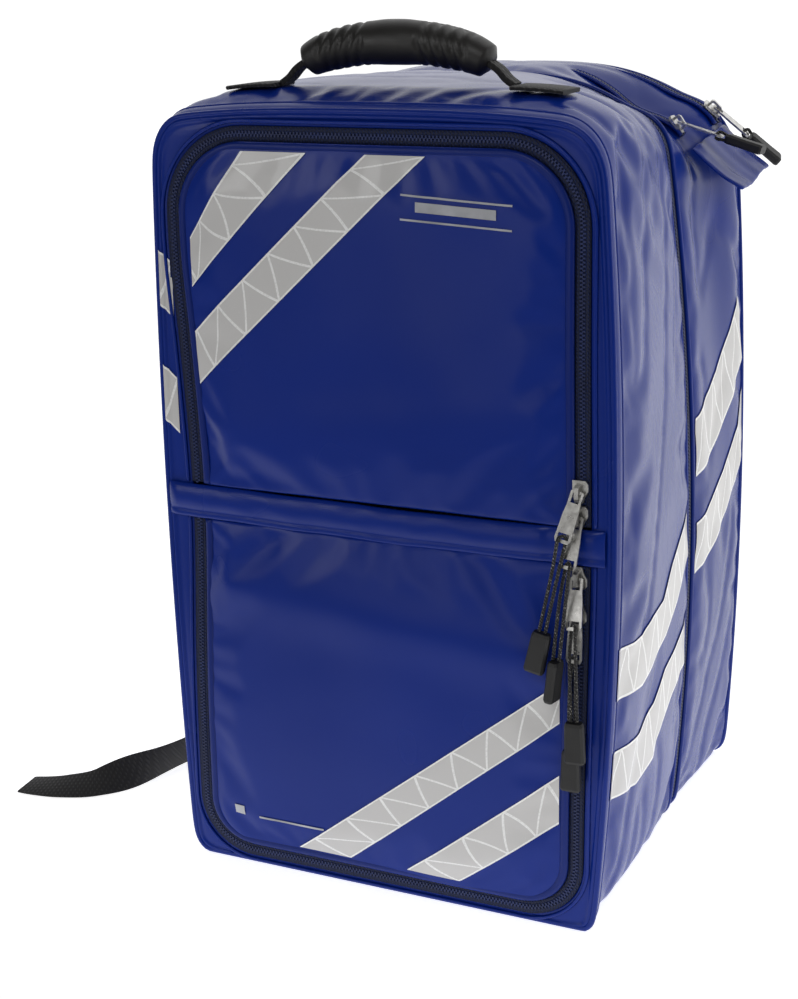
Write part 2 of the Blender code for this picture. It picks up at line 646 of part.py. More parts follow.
def make_pivots():
    make_pivot("front_section", (-0.160, ZIP_PLANE_Y, 0.0))
    make_pivot("upper_lid", (0.0, LID_HINGE_Y, UPPER_HINGE_Z))
    make_pivot("lower_lid", (0.0, LID_HINGE_Y, LOWER_HINGE_Z))
    make_pivot("handle", (0.0, HANDLE_Y, HANDLE_AXIS_Z))
    for name, (z, *_) in FRONT_PULLS.items():
        for part in ("_slider_body", "_pull_body"):
            make_pivot(name + part, (CHAIN_X, PIVOT_Y, z))
    for name, (at, *_) in TOP_PULLS.items():
        for part in ("_slider_body", "_pull_body"):
            make_pivot(name + part, at)


def build():
    clear_scene()
    make_materials()
    make_pivots()
    make_shells()
    make_front()
    make_front_pulls()
    make_crown()
    make_top_pulls()
    make_handle()
    make_harness()
    make_tail()


build()
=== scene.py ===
"""The trauma backpack's looks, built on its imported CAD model.

Metres, in the row's frame: +Z up, -Y the front with the two lids, +X the side with the pulls.
"""

import json
import math

import bmesh
import bpy
from mathutils import Matrix, Vector, noise
from mathutils.bvhtree import BVHTree

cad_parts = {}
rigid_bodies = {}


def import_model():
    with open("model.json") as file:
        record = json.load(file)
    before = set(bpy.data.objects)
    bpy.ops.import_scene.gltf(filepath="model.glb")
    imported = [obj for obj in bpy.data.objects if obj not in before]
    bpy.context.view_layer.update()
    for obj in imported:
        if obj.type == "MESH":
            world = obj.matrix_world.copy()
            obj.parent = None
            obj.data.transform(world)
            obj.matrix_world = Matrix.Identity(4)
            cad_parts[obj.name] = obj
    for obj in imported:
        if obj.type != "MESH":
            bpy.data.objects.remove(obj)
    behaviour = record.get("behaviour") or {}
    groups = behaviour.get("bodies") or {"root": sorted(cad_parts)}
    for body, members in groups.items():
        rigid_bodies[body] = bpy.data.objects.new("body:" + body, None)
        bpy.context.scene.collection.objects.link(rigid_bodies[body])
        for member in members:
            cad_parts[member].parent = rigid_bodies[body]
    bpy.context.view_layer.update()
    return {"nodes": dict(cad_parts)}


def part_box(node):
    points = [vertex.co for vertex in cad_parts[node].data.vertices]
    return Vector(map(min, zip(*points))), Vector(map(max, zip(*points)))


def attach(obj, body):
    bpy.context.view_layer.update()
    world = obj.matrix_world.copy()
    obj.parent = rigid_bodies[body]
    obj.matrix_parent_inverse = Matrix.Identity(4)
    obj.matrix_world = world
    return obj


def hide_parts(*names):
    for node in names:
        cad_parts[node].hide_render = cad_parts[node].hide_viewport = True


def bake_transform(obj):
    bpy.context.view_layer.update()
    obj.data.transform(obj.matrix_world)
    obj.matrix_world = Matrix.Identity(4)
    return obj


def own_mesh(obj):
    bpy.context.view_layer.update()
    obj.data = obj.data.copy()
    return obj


for old in list(bpy.data.objects):
    bpy.data.objects.remove(old, do_unlink=True)
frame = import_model()

# Depths of the body's edges, from the CAD model.
FRONT_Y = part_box("front_frame")[0].y
ZIP_Y = (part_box("main_zip_front_half")[1].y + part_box("main_zip_rear_half")[0].y) / 2
BACK_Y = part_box("rear_shell")[1].y
BAND_LOW, BAND_HIGH = 0.253, 0.275
UPPER_BEND = ((0, 0, 0.280), (0, 0, 0.325))
LOWER_BEND = ((0, 0, 0.249), (0, 0, 0.200))

FRONT_SEAM_Y, REAR_SEAM_Y = 0.0255, 0.0405   # where each section's cloth meets the main zip
MIDDLE_Z, FRONT_MIDDLE_Z = 0.26, 0.2588
FRAME_INSET = 0.0042   # from the front's outline to where the strip round the lids starts
LID_INSET = 0.0046   # from a lid zip's line to the cloth on either side of it
TAPE_LIFT = 0.0007
WEB_WIDE, WEB_THICK = 0.025, 0.0016
SETTLE_FRAMES = 14
FORWARD = (0, -1, 0)

# The line that both lid zips run along.
CHAIN_X, CHAIN_TOP, CHAIN_BOTTOM = 0.1375, 0.507, 0.0105
CHAIN_TOP_RADIUS, CHAIN_BOTTOM_RADIUS = 0.050, 0.036

# One side of the body at each depth: half widths near the base, halfway and at the corner's
# foot, the height of that foot, the corner's two radii and the radius at the base.
RIGHT_SIDE = [
    (-0.1535, 0.1495, 0.1590, 0.1500, 0.483, 0.030, 0.034, 0.012),
    (-0.1300, 0.1475, 0.1610, 0.1500, 0.484, 0.032, 0.040, 0.012),
    (-0.0850, 0.1490, 0.1600, 0.1480, 0.482, 0.036, 0.045, 0.013),
    (-0.0300, 0.1495, 0.1570, 0.1420, 0.478, 0.036, 0.044, 0.014),
    (0.0330, 0.1478, 0.1537, 0.1325, 0.476, 0.030, 0.034, 0.014),
    (0.0850, 0.1500, 0.1555, 0.1340, 0.467, 0.044, 0.036, 0.014),
    (0.1300, 0.1530, 0.1580, 0.1475, 0.455, 0.040, 0.055, 0.014),
    (0.1530, 0.1540, 0.1585, 0.1487, 0.452, 0.040, 0.057, 0.014),
]
LEFT_SIDE = [
    (-0.1535, 0.1490, 0.1555, 0.1525, 0.486, 0.022, 0.030, 0.016),
    (-0.1300, 0.1485, 0.1570, 0.1545, 0.490, 0.024, 0.034, 0.018),
    (-0.0850, 0.1460, 0.1570, 0.1530, 0.488, 0.030, 0.040, 0.020),
    (-0.0300, 0.1480, 0.1560, 0.1490, 0.484, 0.036, 0.045, 0.020),
    (0.0330, 0.1478, 0.1537, 0.1400, 0.478, 0.036, 0.045, 0.020),
    (0.1300, 0.1530, 0.1580, 0.1490, 0.470, 0.040, 0.055, 0.020),
    (0.1530, 0.1540, 0.1585, 0.1490, 0.468, 0.040, 0.055, 0.020),
]
CROWN = [(-0.1535, 0.5210), (-0.1300, 0.5285), (-0.0850, 0.5310), (-0.0300, 0.5330), (0.0330, 0.5330),
         (0.0850, 0.5345), (0.1300, 0.5335), (0.1530, 0.5310)]


# ---------------------------------------------------------------- shapes

def along(rows, at):
    """The values between a table's rows, on a smooth curve."""
    if at <= rows[0][0]:
        return rows[0][1:]
    if at >= rows[-1][0]:
        return rows[-1][1:]
    k = max(i for i in range(len(rows) - 1) if rows[i][0] <= at)
    a, b = rows[k], rows[k + 1]
    before, after = rows[max(k - 1, 0)], rows[min(k + 2, len(rows) - 1)]
    step = b[0] - a[0]
    t = (at - a[0]) / step
    found = []
    for i in range(1, len(a)):
        leave = (b[i] - before[i]) / (b[0] - before[0]) * step
        reach = (after[i] - a[i]) / (after[0] - a[0]) * step
        found.append((2 * t ** 3 - 3 * t * t + 1) * a[i] + (t ** 3 - 2 * t * t + t) * leave
                     + (3 * t * t - 2 * t ** 3) * b[i] + (t ** 3 - t * t) * reach)
    return found


def quarter(centre_x, centre_z, radius_x, radius_z, start, steps):
    turns = [math.radians(start + 90 * i / steps) for i in range(steps + 1)]
    return [(centre_x + radius_x * math.cos(t), centre_z + radius_z * math.sin(t)) for t in turns]


def half_ring(values, top):
    """Half of the body's outline at one depth, from the middle of its base up to its crown."""
    low, middle, high, foot, rx, rz, base = values
    points = [((low - base) * k / 12, 0.0) for k in range(12)]
    points += quarter(low - base, base, base, base, -90, 8)
    for k in range(1, 60):
        z = base + (foot - base) * k / 60
        share = (z - base) / (foot - base)
        bow = middle - (low + high) / 2
        points.append((low + (high - low) * share + 4 * bow * share * (1 - share), z))
    points += quarter(high - rx, foot, rx, rz, 0, 14)
    shoulder, edge = high - rx, foot + rz
    points += [(shoulder * (1 - k / 30), top - (top - edge) * (1 - k / 30) ** 3) for k in range(1, 31)]
    return points


def ring(y, inset=0.0):
    """The body's closed outline at a depth, anticlockwise from the middle of its base."""
    top, = along(CROWN, y)
    right = half_ring(along(RIGHT_SIDE, y), top)
    left = half_ring(along(LEFT_SIDE, y), top)
    points = right + [(-x, z) for x, z in left[-2:0:-1]]
    count = len(points)
    for _ in range(6):
        points = [tuple((points[i - 1][a] + 2 * points[i][a] + points[(i + 1) % count][a]) / 4
                        for a in (0, 1)) for i in range(count)]
    moved = []
    for i, (x, z) in enumerate(points):
        before, after = points[i - 1], points[(i + 1) % count]
        run_x, run_z = after[0] - before[0], after[1] - before[1]
        size = math.hypot(run_x, run_z)
        moved.append((x - inset * run_z / size, max(z + inset * run_x / size, 0.0)))
    return moved


def creases(p, strength):
    """How far the coated cloth stands out from its smooth shape: soft dents and a few folds."""
    slow = noise.noise(Vector((p.x * 9, p.y * 9, p.z * 6)) + Vector((3, 7, 1)))
    warp = noise.noise(Vector((p.y * 14, p.z * 8, p.x * 5))) * 0.5
    fold = noise.noise(Vector((p.x * 16 + warp, p.y * 26 - p.z * 5, p.z * 7 + warp)))
    sharp = 1.0 - min(abs(fold) * 5.0, 1.0)
    corner = math.exp(-((p.z - 0.455) / 0.045) ** 2) * (1.0 if p.x > 0 else 0.5)
    pucker = corner * 0.0010 * math.sin(p.z * 120 + p.y * 95 + 6 * warp + 5 * slow)
    strength *= 0.45 if p.z > 0.505 else 1.0
    return strength * (0.0026 * slow - 0.0021 * sharp * sharp + pucker)


def link(obj):
    bpy.context.collection.objects.link(obj)
    return obj


def mesh_object(name, points, faces, material, uvs=None, smooth=True):
    mesh = bpy.data.meshes.new(name)
    mesh.from_pydata(points, [], faces)
    mesh.materials.append(material)
    if uvs:
        layer = mesh.uv_layers.new(name="UVMap")
        for loop in mesh.loops:
            layer.data[loop.index].uv = uvs[loop.vertex_index]
    mesh.validate()
    if smooth:
        mesh.shade_smooth()
    return link(bpy.data.objects.new(name, mesh))


def strip_faces(rows, columns, closed=False):
    faces = []
    for i in range(rows - 1):
        for j in range(columns if closed else columns - 1):
            k = (j + 1) % columns
            faces.append((i * columns + j, i * columns + k, (i + 1) * columns + k, (i + 1) * columns + j))
    return faces


def surface(name, rows, material, closed=False):
    """A sheet through rows of points."""
    points = [p for row in rows for p in row]
    return mesh_object(name, points, strip_faces(len(rows), len(rows[0]), closed), material)


def sweep(name, path, section, material):
    """A solid strip along a path of (place, outwards, facing), with a section of (outwards, facing)."""
    points, uvs, run = [], [], 0.0
    for i, (place, out, face) in enumerate(path):
        if i:
            run += (place - path[i - 1][0]).length
        for j, (a, b) in enumerate(section):
            points.append(place + out * a + face * b)
            uvs.append((run, j / len(section)))
    count = len(section)
    obj = mesh_object(name, points, tube_faces(len(path), count), material, uvs)
    outward(obj)
    return obj


def tube_faces(rows, columns):
    """The faces of a tube through rows of points, with a cap on each end."""
    return strip_faces(rows, columns, True) \
        + [tuple(range(columns)), tuple(range((rows - 1) * columns, rows * columns))]


def oval(centre, rise, wide, high, count):
    """A strip's rounded section."""
    turns = [math.radians(360 / count * k) for k in range(count)]
    return [(centre + wide * math.cos(t), rise + high * math.sin(t)) for t in turns]


def heading(line, i):
    """The direction of a line of points at one of them."""
    return (line[min(i + 1, len(line) - 1)] - line[max(i - 1, 0)]).normalized()


def outward(obj, fill=False):
    """Turns the faces outwards, and closes any open ends first if fill is set."""
    bm = bmesh.new()
    bm.from_mesh(obj.data)
    if fill:
        bmesh.ops.holes_fill(bm, edges=[e for e in bm.edges if e.is_boundary])
    bmesh.ops.recalc_face_normals(bm, faces=bm.faces)
    bm.to_mesh(obj.data)
    bm.free()


def facing(obj, way):
    """Turns the faces so that, taken together, they look along a direction."""
    obj.data.update()
    if sum(p.normal.dot(Vector(way)) for p in obj.data.polygons) < 0:
        obj.data.flip_normals()
    return obj


def sharp_edges(obj, degrees=40):
    obj.data.set_sharp_from_angle(angle=math.radians(degrees))
    return obj


def bevelled(obj, width, segments=2):
    bevel = obj.modifiers.new("worn edges", "BEVEL")
    bevel.width, bevel.segments, bevel.limit_method = width, segments, "ANGLE"
    return obj


def applied(obj):
    """The object with its modifiers made part of its mesh."""
    graph = bpy.context.evaluated_depsgraph_get()
    mesh = bpy.data.meshes.new_from_object(obj.evaluated_get(graph), depsgraph=graph)
    obj.modifiers.clear()
    obj.data = mesh
    return obj


def relaxed(obj, held, slack, cap):
    """Lets the cloth settle with a little spare length, held at some points, by a cloth simulation."""
    start = [v.co.copy() for v in obj.data.vertices]
    group = obj.vertex_groups.new(name="held")
    group.add([i for i, p in enumerate(start) if held(p)], 1.0, "REPLACE")
    cloth = obj.modifiers.new("cloth", "CLOTH")
    settings = cloth.settings
    settings.quality = 5
    settings.vertex_group_mass = "held"
    settings.shrink_min = -slack
    settings.tension_stiffness = settings.compression_stiffness = 30
    settings.shear_stiffness = 12
    settings.bending_stiffness = 4
    settings.use_pressure = True
    settings.uniform_pressure_force = 1.5
    settings.effector_weights.gravity = 0
    cloth.collision_settings.use_collision = False
    for number in range(1, SETTLE_FRAMES + 1):
        bpy.context.scene.frame_set(number)
    graph = bpy.context.evaluated_depsgraph_get()
    settled = obj.evaluated_get(graph).to_mesh()
    for vertex, there, here in zip(obj.data.vertices, settled.vertices, start):
        shift = there.co - here
        if shift.length > cap:
            shift *= cap / shift.length
        vertex.co = here + shift
    obj.modifiers.clear()
    bpy.context.scene.frame_set(1)
    return obj


# ---------------------------------------------------------------- materials

class Surface:
    """A Principled material whose nodes are added one after another."""

    def __init__(self, name, colour, roughness, metallic=0.0, coat=0.0, sheen=0.0, coat_roughness=0.1):
        self.material = bpy.data.materials.new(name)
        self.material.use_nodes = True
        self.tree = self.material.node_tree
        self.shader = self.tree.nodes["Principled BSDF"]
        for socket, value in (("Base Color", (*colour, 1)), ("Roughness", roughness), ("Metallic", metallic),
                              ("Coat Weight", coat), ("Coat Roughness", coat_roughness),
                              ("Sheen Weight", sheen)):
            self.shader.inputs[socket].default_value = value
        self.colour = colour
        self.where = self.tree.nodes.new("ShaderNodeTexCoord")
        self.height = None

    def node(self, kind, **inputs):
        made = self.tree.nodes.new("ShaderNode" + kind)
        for key, value in inputs.items():
            made.inputs[key.replace("_", " ")].default_value = value
        return made

    def join(self, source, target):
        self.tree.links.new(source, target)

    def noise(self, scale, detail=3.0, source="Object"):
        made = self.node("TexNoise", Scale=scale, Detail=detail)
        self.join(self.where.outputs[source], made.inputs["Vector"])
        return made.outputs["Fac"]

    def wave(self, axis, scale, source="Object"):
        made = self.node("TexWave", Scale=scale)
        made.bands_direction, made.wave_profile = axis, "SIN"
        self.join(self.where.outputs[source], made.inputs["Vector"])
        return made.outputs["Fac"]

    def math(self, operation, a, b):
        made = self.node("Math")
        made.operation = operation
        for socket, value in zip(made.inputs, (a, b)):
            if isinstance(value, (int, float)):
                socket.default_value = value
            else:
                self.join(value, socket)
        return made.outputs[0]

    def bump(self, height, strength, distance):
        made = self.node("Bump", Strength=strength, Distance=distance)
        self.join(height, made.inputs["Height"])
        if self.height is not None:
            self.join(self.height, made.inputs["Normal"])
        self.height = made.outputs["Normal"]
        self.join(self.height, self.shader.inputs["Normal"])
        return self

    def between(self, fac, dark, light):
        ramp = self.node("ValToRGB")
        ramp.color_ramp.elements[0].position, ramp.color_ramp.elements[1].position = 0.3, 0.7
        ramp.color_ramp.elements[0].color = (*dark, 1)
        ramp.color_ramp.elements[1].color = (*light, 1)
        self.join(fac, ramp.inputs["Fac"])
        self.join(ramp.outputs["Color"], self.shader.inputs["Base Color"])
        return self

    def rough(self, fac, low, high):
        self.join(ranged(self.tree, fac, 0, 1, low, high), self.shader.inputs["Roughness"])
        return self


def ranged(tree, value, start, end, low, high):
    """Runs from low to high while the value runs from start to end."""
    made = tree.nodes.new("ShaderNodeMapRange")
    for socket, number in (("From Min", start), ("From Max", end), ("To Min", low), ("To Max", high)):
        made.inputs[socket].default_value = number
    tree.links.new(value, made.inputs["Value"])
    return made.outputs["Result"]


def shade(colour, by):
    return tuple(c * by for c in colour)


def tarpaulin(name, colour, roughness=0.25):
    """PVC-coated polyester: glossy, with the scrim just showing and slow dents in the coating."""
    made = Surface(name, colour, roughness)
    made.shader.inputs["Specular IOR Level"].default_value = 0.22
    scrim = made.math("MULTIPLY", made.wave("X", 420), made.wave("Z", 420))
    made.bump(made.noise(9, 1), 0.45, 0.010).bump(made.noise(34, 1), 0.20, 0.0012)
    made.bump(scrim, 0.10, 0.0002).bump(made.noise(900, 2), 0.05, 0.0002)
    made.between(made.noise(6, 1), shade(colour, 0.94), shade(colour, 1.06))
    return made.rough(made.noise(14, 1), roughness - 0.03, roughness + 0.05).material


def woven(name, colour, pitch=0.0011, roughness=0.8, source="Object", sheen=0.12):
    """Woven tape or webbing: two crossing rows of threads."""
    made = Surface(name, colour, roughness, sheen=sheen)
    scale = 1 / pitch / 6.2832
    rows = made.math("MULTIPLY", made.wave("DIAGONAL", scale * 1.4, source), made.wave("X", scale, source))
    made.bump(rows, 0.8, 0.0005).bump(made.noise(1400, 2, source), 0.3, 0.0002)
    mixed = made.math("ADD", made.math("MULTIPLY", rows, 0.7), made.math("MULTIPLY", made.noise(60, 4), 0.3))
    return made.between(mixed, shade(colour, 0.55), shade(colour, 1.6)).material


def reflective_tape():
    """Sewn-on reflective tape: a zig-zag of welded lines, a clear film and bright edges."""
    made = Surface("reflective_tape", (0.40, 0.395, 0.385), 0.42, coat=0.35, coat_roughness=0.12)
    split = made.node("SeparateXYZ")
    made.join(made.where.outputs["UV"], split.inputs["Vector"])
    u, v = split.outputs["X"], split.outputs["Y"]
    lines = None
    for sign in (1.0, -1.0):
        slope = made.math("ADD", made.math("MULTIPLY", u, 1 / 0.030), made.math("MULTIPLY", v, sign * 0.5))
        off = made.math("ABSOLUTE", made.math("SUBTRACT", made.math("FRACT", slope, 0), 0.5), 0)
        line = made.math("LESS_THAN", off, 0.030)
        lines = line if lines is None else made.math("MAXIMUM", lines, line)
    edge = made.math("GREATER_THAN", made.math("ABSOLUTE", made.math("SUBTRACT", v, 0.5), 0), 0.455)
    lines = made.math("MAXIMUM", lines, edge)
    facets = made.node("TexVoronoi", Scale=620)
    made.join(made.where.outputs["Object"], facets.inputs["Vector"])
    grain = made.math("MULTIPLY", facets.outputs["Distance"], 0.35)
    made.between(made.math("ADD", made.math("MULTIPLY", lines, 0.5), grain),
                 (0.62, 0.61, 0.60), (0.93, 0.93, 0.92))
    made.bump(lines, 0.35, 0.0004).bump(made.noise(60, 3), 0.3, 0.0012)
    return made.rough(made.noise(90, 3), 0.34, 0.5).material


def flecked_cord():
    made = Surface("flecked_cord", (0.012, 0.012, 0.012), 0.75, sheen=0.2)
    cells = made.node("TexVoronoi", Scale=560)
    made.join(made.where.outputs["Object"], cells.inputs["Vector"])
    fleck = made.math("LESS_THAN", cells.outputs["Distance"], 0.23)
    made.between(fleck, (0.010, 0.010, 0.010), (0.30, 0.29, 0.26))
    return made.bump(made.wave("DIAGONAL", 260), 0.9, 0.0006).material


def spacer_mesh():
    made = Surface("spacer_mesh", (0.018, 0.018, 0.020), 0.85, sheen=0.3)
    cells = made.node("TexVoronoi", Scale=330)
    made.join(made.where.outputs["Object"], cells.inputs["Vector"])
    # Painted shade: the cells' centres, the mesh's holes, are coloured darker.
    made.between(cells.outputs["Distance"], (0.004, 0.004, 0.005), (0.030, 0.030, 0.034))
    return made.bump(cells.outputs["Distance"], 1.0, 0.0009).material


def moulded(name, colour, roughness):
    made = Surface(name, colour, roughness)
    made.bump(made.noise(900, 3), 0.35, 0.0002)
    made.between(made.noise(40, 4), shade(colour, 0.75), shade(colour, 1.3))
    return made.rough(made.noise(120, 4), roughness - 0.08, roughness + 0.1).material


def zinc():
    made = Surface("satin_zinc", (0.62, 0.61, 0.58), 0.28, metallic=1.0)
    made.between(made.noise(300, 5), (0.46, 0.45, 0.43), (0.72, 0.71, 0.68))
    made.bump(made.noise(700, 3), 0.15, 0.0002)
    return made.rough(made.noise(240, 5), 0.2, 0.42).material


BLUE = (0.003, 0.023, 0.235)
TARP = tarpaulin("tarpaulin_blue", BLUE)
# A darker copy of the blue tarpaulin, painted shade: it darkens the lid bindings at the lids' shadowed edges
# and the spine cloth in the main zip's recess.
TARP_PAINTED_SHADE = tarpaulin("tarpaulin_painted_shade", shade(BLUE, 0.72), 0.34)
TEAL = tarpaulin("tongue_underside", (0.01, 0.09, 0.16), 0.4)
LINING = woven("lining_grey", (0.09, 0.095, 0.11), 0.0014)
ZIP_TAPE = woven("zip_tape_navy", (0.002, 0.010, 0.060), 0.0009, 0.7, sheen=0.0)
TEETH = moulded("zip_teeth", (0.003, 0.014, 0.085), 0.45)
WEBBING = woven("webbing_black", (0.013, 0.012, 0.012), 0.0016)
TAPE = reflective_tape()
CORD = flecked_cord()
MESH = spacer_mesh()
GRIP = moulded("moulded_grip", (0.014, 0.013, 0.012), 0.42)
RUBBER = moulded("rubber_black", (0.010, 0.010, 0.010), 0.55)
BUCKLE = moulded("buckle_black", (0.012, 0.012, 0.013), 0.38)
ZINC = zinc()
LABEL = moulded("label_grey", (0.42, 0.43, 0.46), 0.45)
SHEET = woven("inner_board", (0.10, 0.10, 0.11), 0.002, 0.6)


# ---------------------------------------------------------------- body

def ring_row(y, inset=0.0, strength=0.0):
    """The outline at a depth, with the cloth's dents fading out towards the seams."""
    row = []
    outer, inner = ring(y, inset), ring(y, inset + 0.01)
    for (x, z), (a, b) in zip(outer, inner):
        p = Vector((x, y, z))
        if strength and z > 0.012:
            out = Vector((x - a, 0, z - b)).normalized()
            p += out * creases(p, strength)
        row.append(p)
    return row


def chain_loop(offset, spacing):
    """Places on the lid zips' rounded line, from the right side's foot over the top to the left's."""
    half, top, bottom = CHAIN_X + offset, CHAIN_TOP + offset, CHAIN_BOTTOM - offset
    above, below = CHAIN_TOP_RADIUS + offset, CHAIN_BOTTOM_RADIUS + offset
    right = [(x, bottom) for x in (0.0, (half - below) / 2)]
    right += quarter(half - below, bottom + below, below, below, -90, 14)
    right += quarter(half - above, top - above, above, above, 0, 16)
    right += [((half - above) / 2, top)]
    corners = right + [(0.0, top)] + [(-x, z) for x, z in right[:0:-1]]
    fine = []
    count = len(corners)
    for i in range(count):
        a, b = corners[i], corners[(i + 1) % count]
        steps = max(1, round(math.hypot(b[0] - a[0], b[1] - a[1]) / spacing))
        fine += [(a[0] + (b[0] - a[0]) * k / steps, a[1] + (b[1] - a[1]) * k / steps)
                 for k in range(steps)]
    return [(wobble(x, z), z) for x, z in fine]


def wobble(x, z):
    """The zip wanders a little from its straight line, most of all on the left."""
    if x > 0:
        return x + 0.0022 * math.exp(-((z - 0.26) / 0.10) ** 2) * min(x / 0.1, 1)
    left = 0.0060 * math.exp(-((z - 0.265) / 0.10) ** 2) - 0.0030 * math.exp(-((z - 0.44) / 0.05) ** 2)
    return x + left * min(-x / 0.1, 1)


def polygon_hit(loop, x, z):
    """Where the ray from the front's centre through a place crosses a closed line."""
    dx, dz = x, z - FRONT_MIDDLE_Z
    best = None
    for (ax, az), (bx, bz) in zip(loop, loop[1:] + loop[:1]):
        ex, ez = bx - ax, bz - az
        det = dx * -ez + dz * ex
        if abs(det) < 1e-12:
            continue
        rx, rz = ax, az - FRONT_MIDDLE_Z
        t = (rx * -ez + rz * ex) / det
        s = (dx * rz - dz * rx) / det
        if t > 0 and -1e-6 <= s <= 1 + 1e-6 and (best is None or t > best[0]):
            best = (t, (dx * t, FRONT_MIDDLE_Z + dz * t))
    return best[1]


def front_body():
    """The front section's gusset, its rolled front edge and the strip round the lids, in one skin."""
    ys = [FRONT_SEAM_Y - 0.0048 * k for k in range(34)] + [-0.1385]
    rows = []
    for y in ys:
        fade = min((FRONT_SEAM_Y - y) / 0.02, (y + 0.140) / 0.02, 1.0)
        rows.append(ring_row(y, 0.0, max(fade, 0.0)))
    edge = FRONT_Y
    for y, inset in ((edge + 0.0125, -0.0004), (edge + 0.0100, -0.0013), (edge + 0.0065, -0.0016),
                     (edge + 0.0030, -0.0008), (edge + 0.0006, 0.0006), (edge - 0.0006, 0.0020),
                     (edge - 0.0006, 0.0032), (edge + 0.0004, FRAME_INSET)):
        rows.append(ring_row(y, inset))
    outer = ring(edge, FRAME_INSET)
    inner = chain_loop(LID_INSET, 0.002)
    targets = [polygon_hit(inner, x, z) for x, z in outer]
    for share, lift in ((0.10, 0.0008), (0.25, 0.0003), (0.5, 0.0001), (0.75, 0.0002), (1.0, 0.0005)):
        rows.append([Vector((x + (a - x) * share, edge + lift, z + (b - z) * share))
                     for (x, z), (a, b) in zip(outer, targets)])
    body = surface("front_body_skin", rows, TARP, closed=True)
    outward_ring(body)
    relaxed(body, lambda p: p.y < -0.137 or p.y > 0.022 or p.z < 0.004, 0.012, 0.0035)
    finish_skin(body, 0.0021)
    applied(body)
    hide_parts("front_shell", "front_frame")
    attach(body, "front_section")
    return body


def outward_ring(obj):
    """Turns the faces so that they look away from the body's middle."""
    obj.data.update()
    total = sum(p.normal.dot(p.center - Vector((0, 0, MIDDLE_Z))) * p.area for p in obj.data.polygons)
    if total < 0:
        obj.data.flip_normals()


def finish_skin(obj, thick, lining=LINING):
    """Gives a skin its thickness, with a lining on the inside, and rounds its facets."""
    solid = obj.modifiers.new("thickness", "SOLIDIFY")
    solid.thickness, solid.offset = thick, -1.0
    obj.data.materials.append(lining)
    solid.material_offset = 1
    smooth = obj.modifiers.new("smooth", "SUBSURF")
    smooth.levels = smooth.render_levels = 1


def rear_body():
    """The rear section's gusset, closed by the back."""
    rows = []
    ys = [REAR_SEAM_Y + 0.0046 * k for k in range(24)]
    for y in ys:
        fade = min((y - REAR_SEAM_Y) / 0.02, (0.150 - y) / 0.02, 1.0)
        rows.append(ring_row(y, 0.0, max(fade, 0.0)))
    for y, inset in ((BACK_Y - 0.0035, -0.0008), (BACK_Y - 0.0008, 0.0008), (BACK_Y, 0.004),
                     (BACK_Y - 0.0002, 0.009)):
        rows.append(ring_row(y, inset))
    last = rows[-1]
    for share in (0.75, 0.5, 0.25, 0.01):
        rows.append([Vector((p.x * share, BACK_Y, MIDDLE_Z + (p.z - MIDDLE_Z) * share)) for p in last])
    body = surface("rear_body_skin", rows, TARP, closed=True)
    outward_ring(body)
    relaxed(body, lambda p: p.y < 0.045 or p.y > 0.149 or p.z < 0.004, 0.010, 0.003)
    finish_skin(body, 0.0021)
    applied(body)
    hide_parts("rear_shell")
    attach(body, "rear_section")
    return body


def ring_path(y, keep=lambda x, z: True):
    """The body's outline at a depth as a sweep's path: out of the body, and back along Y."""
    outer, inner = ring(y), ring(y, 0.01)
    return [(Vector((x, y, z)), Vector((x - a, 0, z - b)).normalized(), Vector((0, 1, 0)))
            for (x, z), (a, b) in zip(outer, inner) if keep(x, z)]


def tooth_row(name, path, side, pitch):
    """Moulded teeth along a path. side moves the row across, by half a pitch on the other half."""
    points, faces = [], []
    run, due = 0.0, pitch * (0.25 if side > 0 else 0.75)
    for (a, out_a, face_a), (b, _, _) in zip(path, path[1:]):
        length = (b - a).length
        if length < 1e-6:
            continue
        ahead = (b - a) / length
        while due <= run + length:
            at = a.lerp(b, (due - run) / length)
            base = len(points)
            for i, half in ((0, 1.0), (1, 0.72)):
                for s, c in ((-1, -1), (1, -1), (1, 1), (-1, 1)):
                    points.append(at + ahead * (s * 0.00075 * half)
                                  + out_a * (side * 0.0009 + c * 0.0013 * half) + face_a * (0.0010 * i))
            faces += [(base, base + 1, base + 5, base + 4), (base + 1, base + 2, base + 6, base + 5),
                      (base + 2, base + 3, base + 7, base + 6), (base + 3, base, base + 4, base + 7),
                      (base + 4, base + 5, base + 6, base + 7), (base + 3, base + 2, base + 1, base)]
            due += pitch
        run += length
    made = mesh_object(name, points, faces, TEETH, smooth=False)
    outward(made)
    return made


def main_zip():
    """The main zip's two halves: woven tape, teeth and a rolled edge against the cloth."""
    for half, side, body in (("front", -1, "front_section"), ("rear", 1, "rear_section")):
        path = [(p, back, out) for p, out, back in ring_path(ZIP_Y)]
        path.append(path[0])
        near, far = sorted((side * 0.0003, side * 0.0075))
        tape = sweep(f"main_zip_{half}_tape", path,
                     [(near, -0.0022), (far, -0.0022), (far, -0.0012), (near, -0.0012)], ZIP_TAPE)
        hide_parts(f"main_zip_{half}_half")
        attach(tape, body)
        lifted = [(p - out * 0.0013, back, out) for p, back, out in path]
        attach(tooth_row(f"main_zip_{half}_teeth", lifted, side, 0.0026), body)
        centre = side * 0.0083
        roll = oval(centre, -0.0006, 0.0021, 0.0019, 8)
        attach(sweep(f"main_zip_{half}_roll", path, roll, TARP), body)


def spine():
    """The cloth along the left side that the main compartment folds open on."""
    rows = []
    for k in range(41):
        z = 0.030 + (0.430 - 0.030) * k / 40
        row = []
        for j in range(15):
            y = 0.0560 - 0.0460 * j / 14
            x = -max(-px for px, pz in ring(y) if px < 0 and abs(pz - z) < 0.012) + 0.0042
            row.append(Vector((x, y, z)))
        rows.append(row)
    # Painted shade: the spine cloth takes the darker copy of the tarpaulin.
    made = surface("left_spine_cloth", rows, TARP_PAINTED_SHADE)
    finish_skin(made, 0.0008)
    applied(made)
    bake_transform(made)


